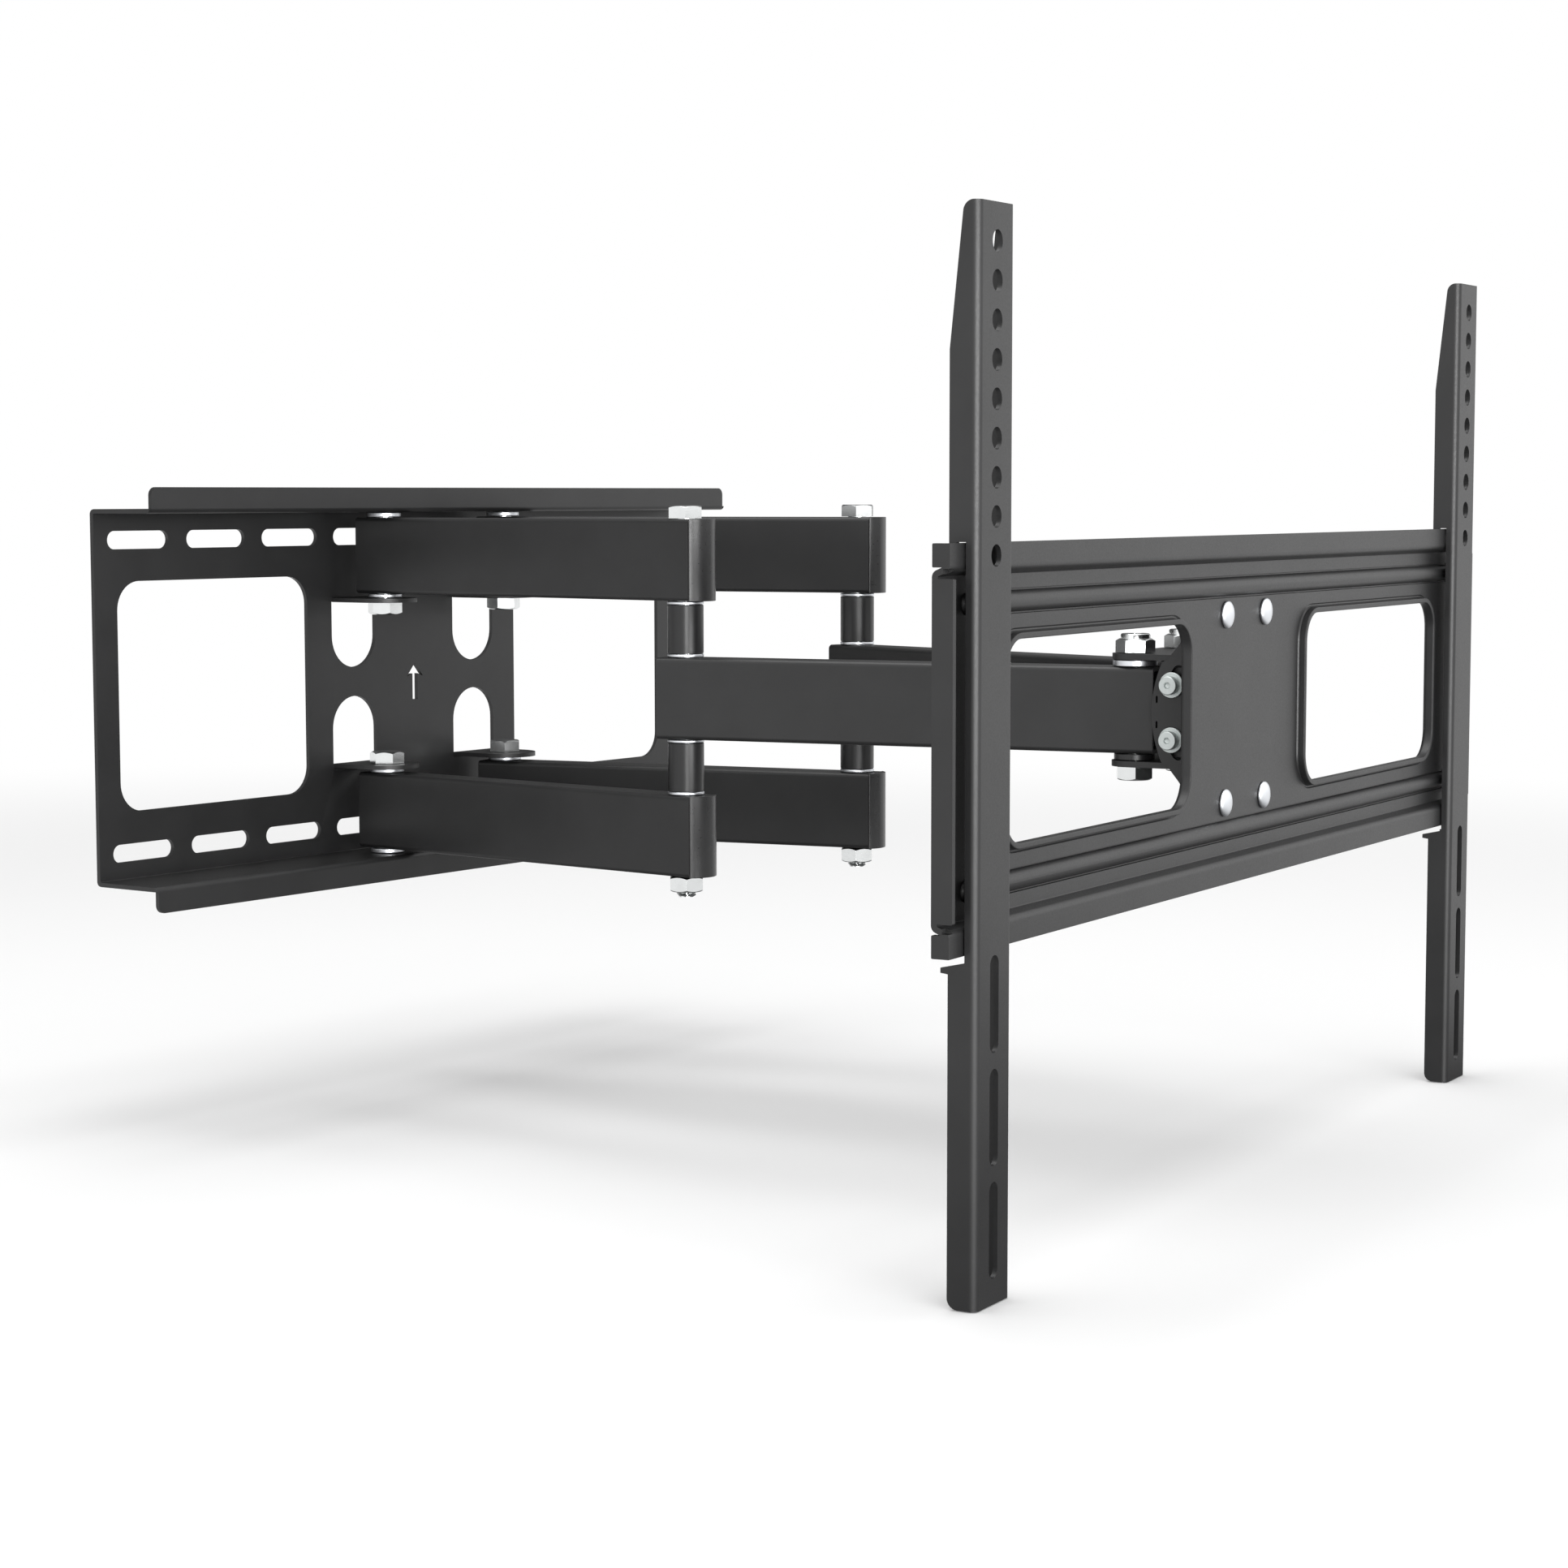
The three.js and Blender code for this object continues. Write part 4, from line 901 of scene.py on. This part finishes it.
# ------------------------------------------------------------------ rails
def rail(name):
    """Screen rail: a U-channel notched to ride on the TV plate, with holes and long slots."""
    w, t = RAIL_WIDTH / 2, RAIL_SHEET
    section = bent([(-w + t / 2, RAIL_DEPTH), (-w + t / 2, t / 2), (w - t / 2, t / 2),
                    (w - t / 2, RAIL_DEPTH)], t, 1.2)
    body = prism(section, "z", RAIL_LOW, RAIL_TOP - RAIL_LOW)
    body = trim(body, prism(rail_outline(), "x", -w - 1, RAIL_WIDTH + 2))
    row, slots = RAIL_HOLE, RAIL_SLOT
    holes = [circle(0, RAIL_TOP - row["first"] - row["pitch"] * i, row["radius"], 40)
             for i in range(row["count"])]
    holes += [slot(0, RAIL_TOP - slots["first"] - slots["pitch"] * i, slots["long"],
                   slots["wide"], True) for i in range(slots["count"])]
    body = cut(body, *(prism(hole, "y", -1, t + 2) for hole in holes))
    finger = [(NOTCH - 1, -81.4), (NOTCH + 0.6, -81.4), (15.8, -83.6), (15.8, -85.6),
              (NOTCH - 1, -87)]
    for x in (-w, w - t):
        body = add(body, prism(finger, "x", x, t))
    place = HEAD @ Matrix.Translation((SIDES[name] * RAIL_X, 0, 0))
    finish(f"rail_pressing_{name}", body, place, f"{name}_rail", "black_coat",
           [f"rail_{name}"], 0.35)


def rail_outline():
    """Side view: tapered top, round rear corners, the notch with its hooks, lower finger."""
    hook = LIP_FACE + SHEET + 0.7
    edge = 81.2
    return ([(-1, RAIL_LOW), (RAIL_DEPTH - 4.5, RAIL_LOW)]
            + arc(RAIL_DEPTH - 4.5, RAIL_LOW + 4.5, 4.5, 270, 360, 10)
            + [(RAIL_DEPTH, -83), (NOTCH, -edge), (NOTCH, edge), (hook, edge), (hook, 74),
               (RAIL_DEPTH, 74), (RAIL_DEPTH, 154.5)]
            + arc(7.1 - 4.5, RAIL_TOP - 4.5, 4.5, 4, 90, 10) + [(-1, RAIL_TOP)])


# ------------------------------------------------------------------ build
wall_plate()
for side_name in SIDES:
    inner_arm(side_name)
    outer_arm(side_name)
    head_pivot(side_name)
    rail(side_name)
    for level_name in LEVELS:
        wall_pivot(side_name, level_name)
        tilt_screw(side_name, level_name)
        rivet(side_name, level_name)
head_bracket()
tilt_frame()
tv_plate()


# ------------------------------------------------------------------ studio
FLOOR = CAD_BOX[0][2] - 0.0004


def painted_floor_shadow(tree):
    """Painted shadow: pale grey that deepens softly below the elbows, where little light reaches
    the floor.
    """
    place = tree.nodes.new("ShaderNodeTexCoord")
    mapping = tree.nodes.new("ShaderNodeMapping")
    mapping.inputs["Location"].default_value = (-0.15, 1.26, 0)
    mapping.inputs["Scale"].default_value = (3.0, 3.5, 0)
    length = tree.nodes.new("ShaderNodeVectorMath")
    length.operation = "LENGTH"
    ramp = tree.nodes.new("ShaderNodeValToRGB")
    ramp.color_ramp.interpolation = "EASE"
    ramp.color_ramp.elements[0].color = (0.72, 0.72, 0.72, 1)
    ramp.color_ramp.elements[1].color = (0.86, 0.86, 0.86, 1)
    tree.links.new(place.outputs["Object"], mapping.inputs["Vector"])
    tree.links.new(mapping.outputs["Vector"], length.inputs[0])
    tree.links.new(length.outputs["Value"], ramp.inputs["Fac"])
    return ramp.outputs["Color"], length.outputs["Value"]


def add_floor():
    """A pale floor that fades to the white of the surroundings far away; in reflections its middle
    shows as a painted, darker glow.
    """
    bm = bmesh.new()
    rings = [0.5, 1, 2, 4, 8, 16, 30]
    rows = [[bm.verts.new((x, y, FLOOR)) for x, y in circle(0, 0, r, 48)] for r in rings]
    bm.faces.new(rows[0])
    for low, high in zip(rows, rows[1:]):
        for i in range(48):
            j = (i + 1) % 48
            bm.faces.new((low[i], low[j], high[j], high[i]))
    floor = to_object(bm)
    floor.name = "floor"
    material, tree, shader = new_material("pale_floor", (0.86, 0.86, 0.86), 0.0, 0.9)
    shader.inputs["Specular IOR Level"].default_value = 0.1
    # painted shadow: the floor's own colour is made darker below the elbows
    tone, distance = painted_floor_shadow(tree)
    tree.links.new(tone, shader.inputs["Base Color"])
    glow = tree.nodes.new("ShaderNodeEmission")
    glow.inputs["Color"].default_value = (1, 1, 1, 1)
    glow.inputs["Strength"].default_value = 1.0
    place = tree.nodes.new("ShaderNodeTexCoord")
    length = tree.nodes.new("ShaderNodeVectorMath")
    length.operation = "LENGTH"
    tree.links.new(place.outputs["Object"], length.inputs[0])
    fade = tree.nodes.new("ShaderNodeMapRange")
    fade.interpolation_type = "SMOOTHSTEP"
    fade.inputs["From Min"].default_value = 0.9
    fade.inputs["From Max"].default_value = 2.2
    tree.links.new(length.outputs["Value"], fade.inputs["Value"])
    # Painted reflection: glossy rays see the floor near the mount as a dim glow, darkest below the
    # elbows, instead of its lit surface.
    dim = tree.nodes.new("ShaderNodeEmission")
    dim.inputs["Color"].default_value = (1, 1, 1, 1)
    dark = tree.nodes.new("ShaderNodeMapRange")
    dark.inputs["From Min"].default_value = 0.9
    dark.inputs["From Max"].default_value = 2.6
    dark.inputs["To Min"].default_value = 0.12
    tree.links.new(distance, dark.inputs["Value"])
    tree.links.new(dark.outputs["Result"], dim.inputs["Strength"])
    path = tree.nodes.new("ShaderNodeLightPath")
    near = tree.nodes.new("ShaderNodeMixShader")
    tree.links.new(path.outputs["Is Glossy Ray"], near.inputs["Fac"])
    tree.links.new(shader.outputs["BSDF"], near.inputs[1])
    tree.links.new(dim.outputs["Emission"], near.inputs[2])
    blend = tree.nodes.new("ShaderNodeMixShader")
    tree.links.new(fade.outputs["Result"], blend.inputs["Fac"])
    tree.links.new(near.outputs["Shader"], blend.inputs[1])
    tree.links.new(glow.outputs["Emission"], blend.inputs[2])
    tree.links.new(blend.outputs["Shader"], tree.nodes["Material Output"].inputs["Surface"])
    floor.data.materials.append(material)


def add_world():
    """White to the camera, darker behind the mount in reflections, dim on surfaces."""
    world = bpy.data.worlds.new("studio")
    bpy.context.scene.world = world
    world.use_nodes = True
    tree = world.node_tree
    soft = tree.nodes["Background"]
    soft.inputs["Color"].default_value = (1, 1, 1, 1)
    soft.inputs["Strength"].default_value = 0.62

    place = tree.nodes.new("ShaderNodeTexCoord")
    toward = tree.nodes.new("ShaderNodeVectorMath")
    toward.operation = "DOT_PRODUCT"
    toward.inputs[1].default_value = (0.26, 0.966, 0)
    tree.links.new(place.outputs["Generated"], toward.inputs[0])
    shade = tree.nodes.new("ShaderNodeMapRange")
    shade.inputs["From Min"].default_value = 0.0
    shade.inputs["From Max"].default_value = 0.75
    shade.inputs["To Min"].default_value = 1.36
    shade.inputs["To Max"].default_value = 0.1
    tree.links.new(toward.outputs["Value"], shade.inputs["Value"])

    path = tree.nodes.new("ShaderNodeLightPath")
    layers = {"Is Glossy Ray": shade.outputs["Result"], "Is Camera Ray": None}
    result = soft.outputs["Background"]
    for kind, strength in layers.items():
        seen = tree.nodes.new("ShaderNodeBackground")
        seen.inputs["Color"].default_value = (1, 1, 1, 1)
        if strength:
            tree.links.new(strength, seen.inputs["Strength"])
        blend = tree.nodes.new("ShaderNodeMixShader")
        tree.links.new(path.outputs[kind], blend.inputs["Fac"])
        tree.links.new(result, blend.inputs[1])
        tree.links.new(seen.outputs["Background"], blend.inputs[2])
        result = blend.outputs["Shader"]
    tree.links.new(result, tree.nodes["World Output"].inputs["Surface"])


def add_light(name, location, target, width, height, power):
    data = bpy.data.lights.new(name, "AREA")
    data.shape = "RECTANGLE"
    data.size, data.size_y = width, height
    data.energy = power
    lamp = bpy.data.objects.new(name, data)
    bpy.context.scene.collection.objects.link(lamp)
    lamp.location = location
    aim = Vector(target) - Vector(location)
    lamp.rotation_euler = aim.to_track_quat("-Z", "Y").to_euler()


def add_camera():
    data = bpy.data.cameras.new("camera")
    data.sensor_width = 36
    data.lens = 74.52
    data.shift_x = -0.0010
    data.shift_y = 0.0050
    data.clip_end = 100
    camera = bpy.data.objects.new("camera", data)
    bpy.context.scene.collection.objects.link(camera)
    yaw, pitch, roll = (math.radians(a) for a in (-54.71, -5.21, -0.07))
    camera.location = (-1.33551, -1.19658, 0.0989)
    turn = (Matrix.Rotation(yaw, 3, "Z") @ Matrix.Rotation(math.pi / 2 + pitch, 3, "X")
            @ Matrix.Rotation(roll, 3, "Z"))
    camera.rotation_euler = turn.to_euler()
    bpy.context.scene.camera = camera


add_floor()
add_world()
add_light("top", (-0.05, -0.2, 2.4), (-0.05, -0.25, 0), 2.4, 2.4, 46)
add_light("front", (-1.5, -2.6, 0.15), (0, -0.3, 0), 2.4, 0.6, 72)
add_camera()
bpy.context.scene.view_settings.view_transform = "Standard"
